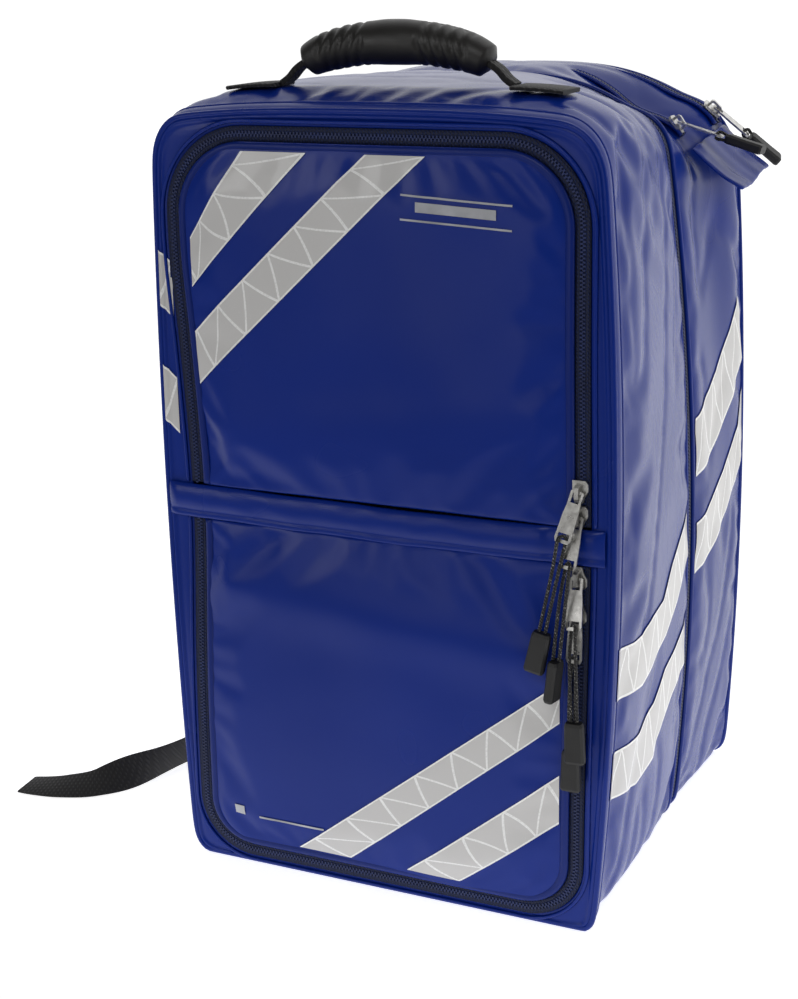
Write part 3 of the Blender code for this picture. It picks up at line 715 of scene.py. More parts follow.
def welts():
    """Piped seams round the front edge and the back's rim."""
    for name, y, out_by, radius, body in (
            ("front_edge_welt", FRONT_Y + 0.0012, 0.0002, 0.0021, "front_section"),
            ("front_inner_welt", FRONT_Y + 0.0118, 0.0002, 0.0013, "front_section"),
            ("back_rim_welt", BACK_Y - 0.0016, 0.0, 0.0021, "rear_section")):
        path = ring_path(y)
        path = [(Vector((p.x, p.y, max(p.z, radius + 0.0004))), out, back) for p, out, back in path]
        path.append(path[0])
        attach(sweep(name, path, oval(out_by, 0.0, radius, radius, 10), TARP), body)


# ---------------------------------------------------------------- front

def lid_outline_half(z, offset):
    """Half the lid's width at a height."""
    half, top, bottom = CHAIN_X + offset, CHAIN_TOP + offset, CHAIN_BOTTOM - offset
    above, below = CHAIN_TOP_RADIUS + offset, CHAIN_BOTTOM_RADIUS + offset
    if z > top - above:
        rise = min(z - (top - above), above)
        return half - above + math.sqrt(max(above ** 2 - rise ** 2, 0))
    if z < bottom + below:
        fall = min(bottom + below - z, below)
        return half - below + math.sqrt(max(below ** 2 - fall ** 2, 0))
    return half


def lid_front(x, z, upper):
    """The lid cloth's depth at a place: crowned, dented and tight at its edges."""
    low, high = (BAND_HIGH, CHAIN_TOP) if upper else (CHAIN_BOTTOM, BAND_LOW)
    edge = min(lid_outline_half(z, -0.0045) - abs(x), high - z if upper else BAND_LOW + 0.004 - z,
               z - (BAND_HIGH - 0.004) if upper else z - low)
    edge = max(edge, 0.0)
    crown = 0.0042 * (1 - math.exp(-edge / 0.016))
    p = Vector((x, 0.0, z))
    dent = 0.0013 * noise.noise(p * 8.0) + 0.0004 * noise.noise(p * 26.0 + Vector((4, 0, 2)))
    if upper:
        pull = 0.0010 * math.exp(-((z - 0.330 - 0.12 * x) / 0.018) ** 2)
    else:
        pull = 0.0034 * math.exp(-((z - 0.196 + 0.10 * (x - 0.03)) / 0.022) ** 2) \
            + 0.0010 * math.exp(-((x - 0.02 + 0.3 * (z - 0.12)) / 0.05) ** 2)
    return FRONT_Y - 0.0012 - crown - (dent + pull) * min(edge / 0.02, 1.0)


def lid(name, upper):
    top, bottom = CHAIN_TOP - LID_INSET, CHAIN_BOTTOM + LID_INSET
    zs = []
    if upper:
        zs = [BAND_HIGH + 0.0006 + (0.4573 - BAND_HIGH) * k / 46 for k in range(46)]
        zs += [0.4573 + (top - 0.4573) * math.sin(math.radians(90 * k / 14)) for k in range(15)]
    else:
        foot = bottom + 0.0315
        zs = [foot - (foot - bottom) * math.sin(math.radians(90 * k / 12)) for k in range(12, 0, -1)]
        zs += [foot + (BAND_LOW - 0.0006 - foot) * k / 44 for k in range(45)]
    rows = []
    for z in zs:
        half = lid_outline_half(z, -LID_INSET)
        row = []
        for k in range(61):
            x = half * math.sin(math.radians(90 * (k - 30) / 30)) * 0.35 + half * (k - 30) / 30 * 0.65
            row.append(Vector((wobble(x, z), lid_front(x, z, upper), z)))
        rows.append(row)
    made = surface(name, rows, TARP)
    facing(made, FORWARD)
    edge_z = (BAND_HIGH + 0.004, CHAIN_TOP - 0.012) if upper else (CHAIN_BOTTOM + 0.012, BAND_LOW - 0.004)
    relaxed(made, lambda p: p.z < edge_z[0] or p.z > edge_z[1]
            or abs(p.x) > lid_outline_half(p.z, -0.0110), 0.006, 0.0025)
    finish_skin(made, 0.0018)
    applied(made)
    return made


def chain_path(upper):
    """The upper or lower zip's line as a sweep's path: out of the lid, and towards the viewer."""
    loop = chain_loop(0.0, 0.0025)
    count = len(loop)
    made = []
    for i, (x, z) in enumerate(loop):
        before, after = loop[i - 1], loop[(i + 1) % count]
        ahead = Vector((after[0] - before[0], 0, after[1] - before[1])).normalized()
        made.append((Vector((x, FRONT_Y, z)), Vector((ahead.z, 0, -ahead.x)), Vector(FORWARD)))
    if upper:
        return [m for m in made if m[0].z > BAND_HIGH]
    start = next(i for i in range(count) if made[i][0].x < 0 and made[i][0].z < BAND_LOW)
    turned = made[start:] + made[:start]
    return [m for m in turned if m[0].z < BAND_LOW]


def lid_zip(upper):
    name, bend = ("upper", UPPER_BEND) if upper else ("lower", LOWER_BEND)
    path = chain_path(upper)
    for half, side in (("inner", -1), ("outer", 1)):
        near, far = sorted((side * 0.0002, side * 0.0048))
        tape = sweep(f"{name}_zip_{half}_tape", path,
                     [(near, -0.0012), (far, -0.0012), (far, 0.0004), (near, 0.0004)], ZIP_TAPE)
        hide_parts(f"{name}_zip_{half}_half")
        teeth = tooth_row(f"{name}_zip_{half}_teeth", path, side * 0.9, 0.0024)
        if half == "outer":
            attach(tape, "front_section")
            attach(teeth, "front_section")
        else:
            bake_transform(tape)
            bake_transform(teeth)
    strip = [(-0.0104, 0.0010), (-0.0104, 0.0022), (-0.0094, 0.0030), (-0.0076, 0.0033), (-0.0060, 0.0031),
             (-0.0050, 0.0021), (-0.0047, 0.0010)]
    # Painted shade: the binding takes the darker copy of the tarpaulin.
    binding = sweep(f"{name}_lid_binding", path, strip, TARP_PAINTED_SHADE)
    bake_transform(binding)
    outer_strip = [(0.0066, 0.0002), (0.0070, 0.0013), (0.0079, 0.0017), (0.0088, 0.0013), (0.0094, 0.0002)]
    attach(sweep(f"{name}_frame_binding", path, outer_strip, TARP), "front_section")


def middle_band():
    """The padded band between the lids, with a doubled lower edge, from side to side."""
    profile = [(BAND_LOW - 0.0010, -0.0012), (BAND_LOW - 0.0012, -0.0028), (BAND_LOW + 0.0006, -0.0036),
               (BAND_LOW + 0.0028, -0.0034), (BAND_LOW + 0.0042, -0.0026), (BAND_LOW + 0.0058, -0.0038),
               (BAND_LOW + 0.0100, -0.0050), (BAND_LOW + 0.0150, -0.0050), (BAND_HIGH - 0.0030, -0.0041),
               (BAND_HIGH - 0.0004, -0.0026), (BAND_HIGH + 0.0004, -0.0010)]
    rows = []
    half = 0.1545
    for k in range(91):
        x = -half + 2 * half * k / 90
        end = min((half - abs(x)) / 0.006, 1.0)
        flat = 0.72 if 0.116 < x < 0.153 else 1.0
        sag = 0.0026 * noise.noise(Vector((x * 16, 0.0, 2.0))) - 0.0030 * math.cos(x / half * 1.57) + 0.0012
        row = []
        for z, out in profile:
            ripple = 0.0007 * noise.noise(Vector((x * 60, z * 90, 5.0)))
            row.append(Vector((x, FRONT_Y + (out + ripple) * flat * (0.35 + 0.65 * end), z + sag * 0.55)))
        rows.append(row)
    made = surface("middle_band_cloth", rows, TARP)
    facing(made, FORWARD)
    finish_skin(made, 0.0011)
    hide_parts("middle_band")
    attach(made, "front_section")


# ---------------------------------------------------------------- stripes

def laid_on(tree, corners_a, corners_b, cast, away, steps):
    """Rows of points between two lines, dropped onto a skin along a direction."""
    rows, uvs = [], []
    a = polyline(corners_a, steps[0])
    b = polyline(corners_b, steps[0])
    run = 0.0
    previous = None
    for p, q in zip(a, b):
        row = []
        middle = (Vector(p) + Vector(q)) / 2
        if previous is not None:
            run += (middle - previous).length
        previous = middle
        for j in range(steps[1] + 1):
            at = Vector(p).lerp(Vector(q), j / steps[1])
            hit, normal, _, _ = tree.ray_cast(at - Vector(cast) * away, Vector(cast), away * 1.6)
            if hit is None:
                row.append(None)
            else:
                if normal.dot(Vector(cast)) > 0:
                    normal = -normal
                row.append(hit + normal * TAPE_LIFT)
            uvs.append((run, j / steps[1]))
        rows.append(row)
    return rows, uvs


def polyline(corners, steps):
    """Evenly spaced points on a line through corners."""
    corners = [Vector(c) for c in corners]
    lengths = [(b - a).length for a, b in zip(corners, corners[1:])]
    total, found = sum(lengths), []
    for k in range(steps + 1):
        want, i = total * k / steps, 0
        while i < len(lengths) - 1 and want > lengths[i]:
            want -= lengths[i]
            i += 1
        found.append(corners[i].lerp(corners[i + 1], min(want / lengths[i], 1.0)))
    return found


trees = {}


def tree_of(skin):
    """A finished skin's faces, ready for rays."""
    if skin.name not in trees:
        mesh = skin.data
        trees[skin.name] = BVHTree.FromPolygons([v.co for v in mesh.vertices],
                                                [tuple(f.vertices) for f in mesh.polygons])
    return trees[skin.name]


def stripe(name, skin, corners_a, corners_b, cast, away=0.25, steps=(56, 8)):
    """A strip of reflective tape on a skin. Points that miss the skin are left out."""
    rows, uvs = laid_on(tree_of(skin), corners_a, corners_b, cast, away, steps)
    points, kept, where, faces = [], [], {}, []
    columns = len(rows[0])
    for i, row in enumerate(rows):
        for j, p in enumerate(row):
            if p is not None:
                where[i, j] = len(points)
                points.append(p)
                kept.append(uvs[i * columns + j])
    for i in range(len(rows) - 1):
        for j in range(columns - 1):
            quad = [where.get(key) for key in ((i, j), (i, j + 1), (i + 1, j + 1), (i + 1, j))]
            if None not in quad:
                faces.append(tuple(quad))
    return facing(mesh_object(name, points, faces, TAPE, kept), -Vector(cast))


def xz(*pairs):
    return [(x, FRONT_Y, z) for x, z in pairs]


def yz(*pairs):
    return [(0.16, y, z) for y, z in pairs]


def front_stripes(upper_lid, lower_lid):
    stripes = [
        ("upper_lid_stripe_high", upper_lid, "upper", xz((-0.087, 0.4965), (-0.1265, 0.441)),
         xz((-0.041, 0.4965), (-0.1265, 0.409))),
        ("upper_lid_stripe_low", upper_lid, "upper", xz((-0.001, 0.4965), (-0.1265, 0.380)),
         xz((0.039, 0.4965), (-0.1245, 0.345))),
        ("lower_lid_stripe_high", lower_lid, "lower", xz((-0.063, 0.0215), (0.1265, 0.174)),
         xz((-0.023, 0.0215), (0.1265, 0.146))),
        ("lower_lid_stripe_low", lower_lid, "lower", xz((0.019, 0.0215), (0.1265, 0.110)),
         xz((0.058, 0.0215), (0.1265, 0.076))),
    ]
    for name, skin, which, a, b in stripes:
        made = stripe(name, skin, a, b, (0, 1, 0), 0.05)
        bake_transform(made)


def side_stripes(front, rear):
    inward = (-1, 0, 0)
    lines = [
        ("front_side_stripe_high", front, "front_section",
         yz((-0.1445, 0.196), (-0.098, 0.190), (-0.078, 0.196), (-0.051, 0.198), (-0.031, 0.216),
            (0.002, 0.236), (0.0215, 0.243)),
         yz((-0.1445, 0.161), (-0.096, 0.154), (-0.070, 0.159), (-0.040, 0.170), (-0.015, 0.184),
            (0.002, 0.200), (0.0215, 0.208))),
        ("front_side_stripe_low", front, "front_section",
         yz((-0.1445, 0.125), (-0.094, 0.119), (-0.062, 0.128), (-0.040, 0.144), (-0.015, 0.150),
            (0.008, 0.160), (0.0215, 0.172)),
         yz((-0.1445, 0.092), (-0.096, 0.083), (-0.059, 0.086), (-0.041, 0.104), (-0.020, 0.116),
            (0.002, 0.124), (0.0215, 0.130))),
        ("rear_side_stripe_high", rear, "rear_section",
         yz((0.0440, 0.299), (0.060, 0.306), (0.091, 0.323), (0.118, 0.348), (0.135, 0.370)),
         yz((0.0440, 0.257), (0.064, 0.262), (0.092, 0.276), (0.125, 0.298), (0.147, 0.322))),
        ("rear_side_stripe_low", rear, "rear_section",
         yz((0.0440, 0.223), (0.060, 0.227), (0.101, 0.247), (0.134, 0.273), (0.150, 0.300)),
         yz((0.0440, 0.185), (0.060, 0.188), (0.096, 0.203), (0.134, 0.231), (0.150, 0.260))),
    ]
    for name, skin, body, a, b in lines:
        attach(stripe(name, skin, a, b, inward), body)
        mirrored = [[(-x, y, z) for x, y, z in line] for line in (a, b)]
        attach(stripe(name.replace("side", "left_side"), skin, *mirrored, (1, 0, 0)), body)
    for name, high, low in (("front_edge_stripe_high", 0.435, 0.398),
                            ("front_edge_stripe_low", 0.358, 0.320)):
        a = [(-0.16, -0.1450, high), (-0.16, -0.1180, high + 0.022)]
        b = [(-0.16, -0.1450, low), (-0.16, -0.1180, low + 0.022)]
        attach(stripe(name, front, a, b, (1, 0, 0), steps=(20, 8)), "front_section")
        ends = [[(-0.1550, FRONT_Y, h - 0.002), (-0.1440, FRONT_Y, h - 0.011)] for h in (high, low)]
        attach(stripe(name + "_turned", front, *ends, (0, 1, 0), 0.05, (10, 10)), "front_section")


def marks(upper_lid, lower_lid):
    """Plain grey marks where the maker's printing was."""
    # Each mark's ends along X, then the heights of its upper and its lower edge at those ends.
    spots = [
        ("upper_label_bar_top", upper_lid, "upper", (0.024, 0.096), (0.4745, 0.4705), (0.4733, 0.4693)),
        ("upper_label_bar_low", upper_lid, "upper", (0.024, 0.096), (0.4600, 0.4560), (0.4588, 0.4548)),
        ("upper_label_field", upper_lid, "upper", (0.034, 0.086), (0.4700, 0.4671), (0.4640, 0.4611)),
        ("lower_label_square", lower_lid, "lower", (-0.1120, -0.1040), (0.0460, 0.0460), (0.0390, 0.0390)),
        ("lower_label_line", lower_lid, "lower", (-0.0920, -0.0420), (0.0408, 0.0408), (0.0394, 0.0394)),
    ]
    for name, skin, which, ends, high, low in spots:
        made = stripe(name, skin, xz(*zip(ends, high)), xz(*zip(ends, low)), (0, 1, 0), 0.05, (16, 2))
        set_material(made, LABEL)
        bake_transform(made)


# ---------------------------------------------------------------- crown, handle

def crown():
    """The two zips across the crown and the sewn tongue at their right end."""
    for name, y, width, replaced in (("rear", 0.1360, 0.0115, "top_zip_rear"),
                                     ("front", 0.0900, 0.0078, "top_zip_front")):
        path = [(p, back, out) for p, out, back in ring_path(y, lambda x, z: z > 0.486 and abs(x) < 0.137)]
        half = width / 2
        tape = sweep(f"crown_{name}_tape", path,
                     [(-half, -0.0004), (half, -0.0004), (half, 0.0009), (-half, 0.0009)], ZIP_TAPE)
        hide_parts(replaced)
        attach(tape, "rear_section")
        lifted = [(p + out * 0.0008, back, out) for p, back, out in path]
        for side in (-1, 1):
            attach(tooth_row(f"crown_{name}_teeth_{'a' if side < 0 else 'b'}", lifted, side * 0.9, 0.0024),
                    "rear_section")
        for side in (-1, 1):
            centre = side * (half + 0.0008)
            roll = oval(centre, 0.0008, 0.0016, 0.0014, 8)
            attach(sweep(f"crown_{name}_roll_{'a' if side < 0 else 'b'}", path, roll, TARP), "rear_section")
    low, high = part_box("top_tongue")
    rows = []
    for k in range(13):
        share = k / 12
        x = low.x + (high.x - low.x) * share
        z = high.z - 0.0010 - (high.z - low.z - 0.010) * share - 0.0018 * math.sin(math.pi * share)
        narrow = 0.004 * max(share - 0.7, 0) / 0.3
        row = []
        for j in range(17):
            y = low.y + narrow + (high.y - low.y - 2 * narrow) * j / 16
            stitch = 0.0004 * math.cos(y * 900)
            row.append(Vector((x, y, z - 0.010 * (1 - j / 16) + 0.0012 * math.sin(y * 120) * share + stitch)))
        rows.append(row)
    tongue = surface("crown_tongue", rows, TARP)
    facing(tongue, (0, 0, 1))
    finish_skin(tongue, 0.0024, TEAL)
    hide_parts("top_tongue")
    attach(tongue, "rear_section")


GRIP_ROUTE = [(-0.0790, 0.5352), (-0.0735, 0.5390), (-0.0660, 0.5460), (-0.0490, 0.5540), (-0.0250, 0.5590),
              (0.0, 0.5604)]


def spline(points, spacing):
    """Evenly spaced points on a Catmull-Rom curve through the given ones."""
    places = [Vector(p) for p in points]
    ends = [2 * places[0] - places[1]] + places + [2 * places[-1] - places[-2]]
    fine = []
    for a, b, c, d in zip(ends, ends[1:], ends[2:], ends[3:]):
        for k in range(24):
            t = k / 24
            fine.append(0.5 * (2 * b + (c - a) * t + (2 * a - 5 * b + 4 * c - d) * t * t
                               + (3 * b - a - 3 * c + d) * t ** 3))
    fine.append(places[-1])
    total = sum((b - a).length for a, b in zip(fine, fine[1:]))
    return polyline(fine, max(2, round(total / spacing)))


def handle():
    """The moulded grip with its grooves, on webbing that is sewn to two flat feet."""
    y = (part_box("handle_grip")[0].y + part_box("handle_grip")[1].y) / 2
    route = GRIP_ROUTE + [(-x, z) for x, z in GRIP_ROUTE[-2::-1]]
    line = spline([(x, y, z) for x, z in route], 0.0016)
    held = [p for p in line if abs(p.x) <= 0.0630]
    rows = []
    for i, here in enumerate(held):
        share = abs(here.x) / 0.063
        radius = 0.0132 * (1.0 - 0.26 * share ** 4) * (1.0 + 0.045 * math.exp(-(here.x / 0.012) ** 4))
        radius *= min(1.0, 0.55 + 9 * (1.0 - share) if share > 0.95 else 1.0)
        ahead = heading(held, i)
        across = Vector((0, 1, 0))
        up = ahead.cross(across)
        if up.z < 0:
            up = -up
        row = []
        for k in range(40):
            t = math.radians(9 * k)
            cut = 0.0
            for side in (-1, 1):
                along_grip = here.x * side - 0.034
                lean = math.sin(t) * 0.006
                if -0.017 < along_grip < 0.017 and abs(math.cos(t) + 0.55) < 0.8:
                    wave = math.cos((along_grip + lean) / 0.0076 * 2 * math.pi)
                    cut = max(cut, 0.0013 * max(wave, 0.0) ** 0.5)
            r = radius - cut
            row.append(here + across * (r * 1.05 * math.cos(t)) + up * (r * math.sin(t)))
        rows.append(row)
    grip = surface("carry_grip", rows, GRIP, closed=True)
    outward(grip, fill=True)
    grip.data.shade_smooth()
    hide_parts("handle_grip")
    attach(grip, "handle")
    ends = ribbon("grip_webbing", line, Vector((0, 1, 0)), 0.012, 0.0038, WEBBING)
    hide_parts("handle_webbing")
    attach(ends, "handle")
    for side in (-1, 1):
        name = "left" if side < 0 else "right"
        foot_line = [Vector((side * (0.080 + 0.034 * k / 16), y, 0.5345 - 0.0022 * (k / 16) ** 2))
                     for k in range(17)]
        foot = ribbon("handle_foot_webbing_" + name, foot_line, Vector((0, 1, 0)), 0.030, 0.0026, WEBBING)
        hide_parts("handle_foot_" + name)
        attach(foot, "front_section")


def rested(line, across, width, thick, floor):
    """The line raised so that a strap along it lies with its lower edge on the floor."""
    raised = []
    for i, here in enumerate(line):
        ahead = heading(line, i)
        side = (across[i] - ahead * across[i].dot(ahead)).normalized()
        up = ahead.cross(side)
        raised.append(Vector((here.x, here.y, floor + abs(side.z) * width / 2 + abs(up.z) * thick / 2)))
    return raised


def ribbon(name, line, across, width, thick, material):
    """A flat woven strap along a line. across is its width's way, or one way for each point."""
    section = [(-1, -0.5), (-0.9, -1), (0.9, -1), (1, -0.5), (1, 0.5), (0.9, 1), (-0.9, 1), (-1, 0.5)]
    points, uvs, run = [], [], 0.0
    for i, here in enumerate(line):
        ahead = heading(line, i)
        side = across[i] if isinstance(across, list) else across
        side = (side - ahead * side.dot(ahead)).normalized()
        up = ahead.cross(side)
        if i:
            run += (line[i] - line[i - 1]).length
        for a, b in section:
            points.append(here + side * (a * width / 2) + up * (b * thick / 2))
            uvs.append((run, a))
    made = mesh_object(name, points, tube_faces(len(line), len(section)), material, uvs)
    outward(made)
    return sharp_edges(made, 50)


# ---------------------------------------------------------------- pulls

PIVOT_Y = -0.1584
FRONT_PULLS = {
    "upper_a": (0.2995, 11.5, 22, 0.050, 0.0117, -1),
    "upper_b": (0.2835, 5.7, 16, 0.052, 0.0112, 1),
    "lower_b": (0.2445, -2.0, 15, 0.050, 0.0112, 1),
    "lower_a": (0.2220, 0.5, 5, 0.050, 0.0042, 1),
}
TOP_PULLS = {
    "top_rear": (Vector((0.1344, 0.1360, 0.5046)), Vector((0.740, 0.0, 0.673)), 20, 0, 5, 0.0475),
    "top_front": (Vector((0.1230, 0.0880, 0.4975)), Vector((0.810, 0.0, 0.586)), 0, 4, 38, 0.0490),
}
TAB_LENGTH, END_LENGTH, CORD_WIDE, GAP = 0.032, 0.027, 0.0024, 0.0003


def cord_route(slider_at, lean, tilt, reach, drop, end_out, front_side):
    """The loop's line, as part.py has it: up from the rubber end, through the tab's slot and back."""
    swing = slider_at @ Matrix.Rotation(math.radians(lean), 4, "Y")
    tab_at = swing @ Matrix.Rotation(math.radians(-tilt), 4, "X")
    bar, side = -TAB_LENGTH + 0.0041, 0.002 * front_side
    turn = [(side, -0.0024, bar - 0.0050), (side, -0.0024, bar - 0.0020),
            (side * 0.55, -0.0017, bar - 0.0004), (0.0, 0.0, bar + 0.0001),
            (-side * 0.55, 0.0017, bar - 0.0004), (-side, 0.0024, bar - 0.0020),
            (-side, 0.0024, bar - 0.0050)]
    turn = [tab_at @ Vector(p) for p in turn]
    top = -reach + END_LENGTH / 2 + 2 * GAP
    if drop is None:
        feet = [tab_at @ Vector((s, 0.0015 * y, top)) for s, y in ((side, -1), (-side, 1))]
        return feet[:1] + turn[1:-1] + feet[1:]
    level = [swing @ Vector((s, -end_out, -drop)) for s in (side, -side)]
    foot = [swing @ Vector((s, -end_out, top)) for s in (side, -side)]
    near = [swing @ Vector((s, -end_out, top + 0.006)) for s in (side, -side)]
    return [foot[0], near[0], level[0]] + turn + [level[1], near[1], foot[1]]


def round_cord(name, line, width, material):
    """A braided cord: a tube whose surface carries two crossing spirals of strands."""
    rows, sides = [], 12
    previous = None
    run = 0.0
    for i, here in enumerate(line):
        ahead = heading(line, i)
        side = previous if previous is not None else ahead.orthogonal()
        side = (side - ahead * side.dot(ahead)).normalized()
        previous = side
        up = ahead.cross(side)
        if i:
            run += (line[i] - line[i - 1]).length
        row = []
        for k in range(sides):
            t = 2 * math.pi * k / sides
            braid = 0.00008 * (math.cos(3 * t + run * 1800) + math.cos(3 * t - run * 1800))
            radius = width / 2 - 0.00010 + braid
            row.append(here + side * (radius * math.cos(t)) + up * (radius * math.sin(t)))
        rows.append(row)
    made = surface(name, rows, material, closed=True)
    outward(made, fill=True)
    made.data.shade_smooth()
    return made


def top_frame(at, outward_way, turned):
    slope = Vector((outward_way.z, 0.0, -outward_way.x))
    angle = math.radians(turned)
    down = slope * math.cos(angle) + Vector((0.0, 1.0, 0.0)) * math.sin(angle)
    turned_to = Matrix((outward_way.cross(down), -outward_way, -down)).transposed().to_4x4()
    return Matrix.Translation(at) @ turned_to


def pulls():
    routes = {}
    for name, (z, lean, tilt, drop, out, front_side) in FRONT_PULLS.items():
        at = Matrix.Translation((CHAIN_X, PIVOT_Y, z))
        routes[name] = cord_route(at, lean, tilt, 0.104, drop, out, front_side)
    for name, (at, out, turned, lean, tilt, reach) in TOP_PULLS.items():
        routes[name] = cord_route(top_frame(at, out, turned), lean, tilt, reach, None, 0.0, 1)
    for name, route in routes.items():
        line = spline(route, 0.0011)
        cord = round_cord(name + "_braid", line, CORD_WIDE, CORD)
        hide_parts(name + "_cord")
        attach(cord, name + "_pull_body")
        for part, width in (("_slider", 0.0004), ("_tab", 0.0003)):
            node = frame["nodes"][name + part]
            set_material(node, ZINC)
            bevelled(node, width)
        end = frame["nodes"][name + "_end"]
        set_material(end, RUBBER)
        bevelled(end, 0.0010, 3)


def set_material(obj, material):
    obj.data.materials.clear()
    obj.data.materials.append(material)


# ---------------------------------------------------------------- harness, tail, inside

def crowned_pad(name, low, high, channels=()):
    """A pad that is flat on the back, crowned in front, with its sides drawn in and sewn channels."""
    rows = []
    across = up = 34
    centre_x, centre_z = (low.x + high.x) / 2, (low.z + high.z) / 2
    half_x, half_z = (high.x - low.x) / 2, (high.z - low.z) / 2
    for i in range(up + 1):
        b = -1 + 2 * i / up
        row = []
        for j in range(across + 1):
            a = -1 + 2 * j / across
            draw = 1 - 0.035 * (1 - b * b) if abs(a) > 0.9 else 1.0
            x = centre_x + half_x * (a * math.sqrt(1 - 0.10 * b * b)) * draw
            z = centre_z + half_z * (b * math.sqrt(1 - 0.10 * a * a))
            rise = ((1 - a ** 6) * (1 - b ** 6)) ** 0.5
            for channel in channels:
                rise *= 1 - 0.45 * math.exp(-((b - channel) * half_z / 0.004) ** 2)
            row.append(Vector((x, low.y + 0.0004 + (high.y - low.y - 0.0004) * rise, z)))
        rows.append(row)
    back = [[Vector((p.x, low.y, p.z)) for p in row] for row in rows]
    points = [p for row in rows for p in row] + [p for row in back for p in row]
    columns, size = across + 1, (across + 1) * (up + 1)
    faces = strip_faces(up + 1, columns)
    faces += [tuple(size + k for k in face[::-1]) for face in strip_faces(up + 1, columns)]
    rim = [(0, j) for j in range(across)] + [(i, across) for i in range(up)] \
        + [(up, j) for j in range(across, 0, -1)] + [(i, 0) for i in range(up, 0, -1)]
    indices = [i * columns + j for i, j in rim]
    for a, b in zip(indices, indices[1:] + indices[:1]):
        faces.append((a, b, size + b, size + a))
    made = mesh_object(name, points, faces, MESH)
    outward(made)
    sharp_edges(made, 60)
    return made


def harness():
    """The padded back, the shoulder straps, their webbing and adjusters."""
    for node, channels in (("back_pad_left", (-0.5, 0.0, 0.5)), ("back_pad_right", (-0.5, 0.0, 0.5)),
                           ("lumbar_pad", ()), ("shoulder_yoke", ())):
        pad = crowned_pad(node + "_cover", *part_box(node), channels)
        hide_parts(node)
        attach(pad, "rear_section")
    panel = crowned_pad("back_panel_cover", *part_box("back_panel"))
    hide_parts("back_panel")
    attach(panel, "rear_section")
    for side, turn in (("left", -1), ("right", 1)):
        line = spline([(turn * x, y, z) for x, y, z in
                       ((0.050, 0.1755, 0.470), (0.052, 0.186, 0.440), (0.058, 0.197, 0.400),
                        (0.068, 0.205, 0.340), (0.082, 0.203, 0.280),
                        (0.096, 0.194, 0.230), (0.104, 0.187, 0.195))], 0.005)
        rows = []
        for i, here in enumerate(line):
            ahead = heading(line, i)
            across = (Vector((1, 0, 0)) - ahead * ahead.x).normalized()
            up = ahead.cross(across)
            share = i / (len(line) - 1)
            width = 0.058 * (1 - 0.22 * max(share - 0.6, 0) / 0.4)
            quilt = 1 - 0.22 * math.exp(-((share * 6 % 1 - 0.5) / 0.06) ** 2)
            row = []
            for k in range(20):
                t = 2 * math.pi * k / 20
                c, s = math.cos(t), math.sin(t)
                a = math.copysign(abs(c) ** 0.6, c) * width / 2
                b = math.copysign(abs(s) ** 0.7, s) * 0.0058 * quilt
                row.append(here + across * a + up * b)
            rows.append(row)
        strap = surface("padded_strap_" + side, rows, MESH, closed=True)
        outward(strap, fill=True)
        strap.data.shade_smooth()
        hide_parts("shoulder_strap_" + side)
        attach(strap, "rear_section")
        lock = frame["nodes"]["ladder_lock_" + side]
        set_material(lock, BUCKLE)
        bevelled(lock, 0.0009, 3)
        lower = spline([(turn * x, y, z) for x, y, z in
                        ((0.1085, 0.1835, 0.1620), (0.113, 0.1800, 0.140), (0.118, 0.1700, 0.100),
                         (0.121, 0.1620, 0.070), (0.122, 0.1560, 0.045), (0.122, 0.1550, 0.020))], 0.004)
        belt = ribbon("lower_belt_" + side, lower, Vector((1, 0, 0)), WEB_WIDE, WEB_THICK, WEBBING)
        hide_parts("lower_webbing_" + side)
        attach(belt, "rear_section")


FLOOR = 0.0006
TAIL_DROP = [(-0.1060, 0.1895, 0.1660), (-0.1075, 0.1930, 0.135), (-0.1105, 0.1975, 0.090),
             (-0.1155, 0.2010, 0.048), (-0.1230, 0.2030, 0.016), (-0.1360, 0.2030, 0.0026),
             (-0.1513, 0.2020, 0.0014)]
TAIL_DROP_ACROSS = [(1, 0.0, 0), (0.9, 0.45, 0), (0.45, 0.9, 0.0), (0.0, 1, 0.0)]
TAIL_RUN = [(-0.1516, 0.2019, FLOOR), (-0.1570, 0.2013, FLOOR), (-0.1700, 0.1950, FLOOR),
            (-0.1840, 0.1760, FLOOR), (-0.1950, 0.1450, FLOOR), (-0.2030, 0.0950, FLOOR),
            (-0.2130, 0.0350, FLOOR), (-0.2290, -0.0300, FLOOR),
            (-0.2430, -0.0740, FLOOR), (-0.2640, -0.1010, FLOOR),
            (-0.2900, -0.1130, FLOOR), (-0.3100, -0.1165, FLOOR), (-0.3240, -0.1170, FLOOR)]
TAIL_RUN_ACROSS = [(0.0, 1, 0.0), (0.15, 0.55, 0.85), (0.0, 0.0, 1.0), (0.0, 0.0, 1.0), (0.03, 0.0, 1.0),
                   (0.10, 0.0, 1.0), (0.30, 0.35, 0.85), (0.0, 1.0, 0.30), (0.0, 1.0, 0.06)]


def strap_tail():
    """The left strap's loose end: down from its adjuster, then along the floor."""
    for name, route, ways, floor in (("strap_tail_drop", TAIL_DROP, TAIL_DROP_ACROSS, None),
                                     ("strap_tail", TAIL_RUN, TAIL_RUN_ACROSS, FLOOR)):
        line = spline(route, 0.004)
        sides = spline(ways, 0.02)
        across = []
        for i in range(len(line)):
            share = i / (len(line) - 1) * (len(sides) - 1)
            k = min(int(share), len(sides) - 2)
            across.append(sides[k].lerp(sides[k + 1], share - k))
        if floor is not None:
            line = rested(line, across, WEB_WIDE, WEB_THICK, floor)
        made = ribbon(name + "_webbing", line, across, WEB_WIDE, WEB_THICK, WEBBING)
        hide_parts(name)
        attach(made, "rear_section")
        if floor is not None:
            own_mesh(made)


def inside():
    for node in ("divider_panel", "compartment_shelf", "frame_sheet"):
        set_material(frame["nodes"][node], SHEET)
        bevelled(frame["nodes"][node], 0.0006)


# ---------------------------------------------------------------- stage

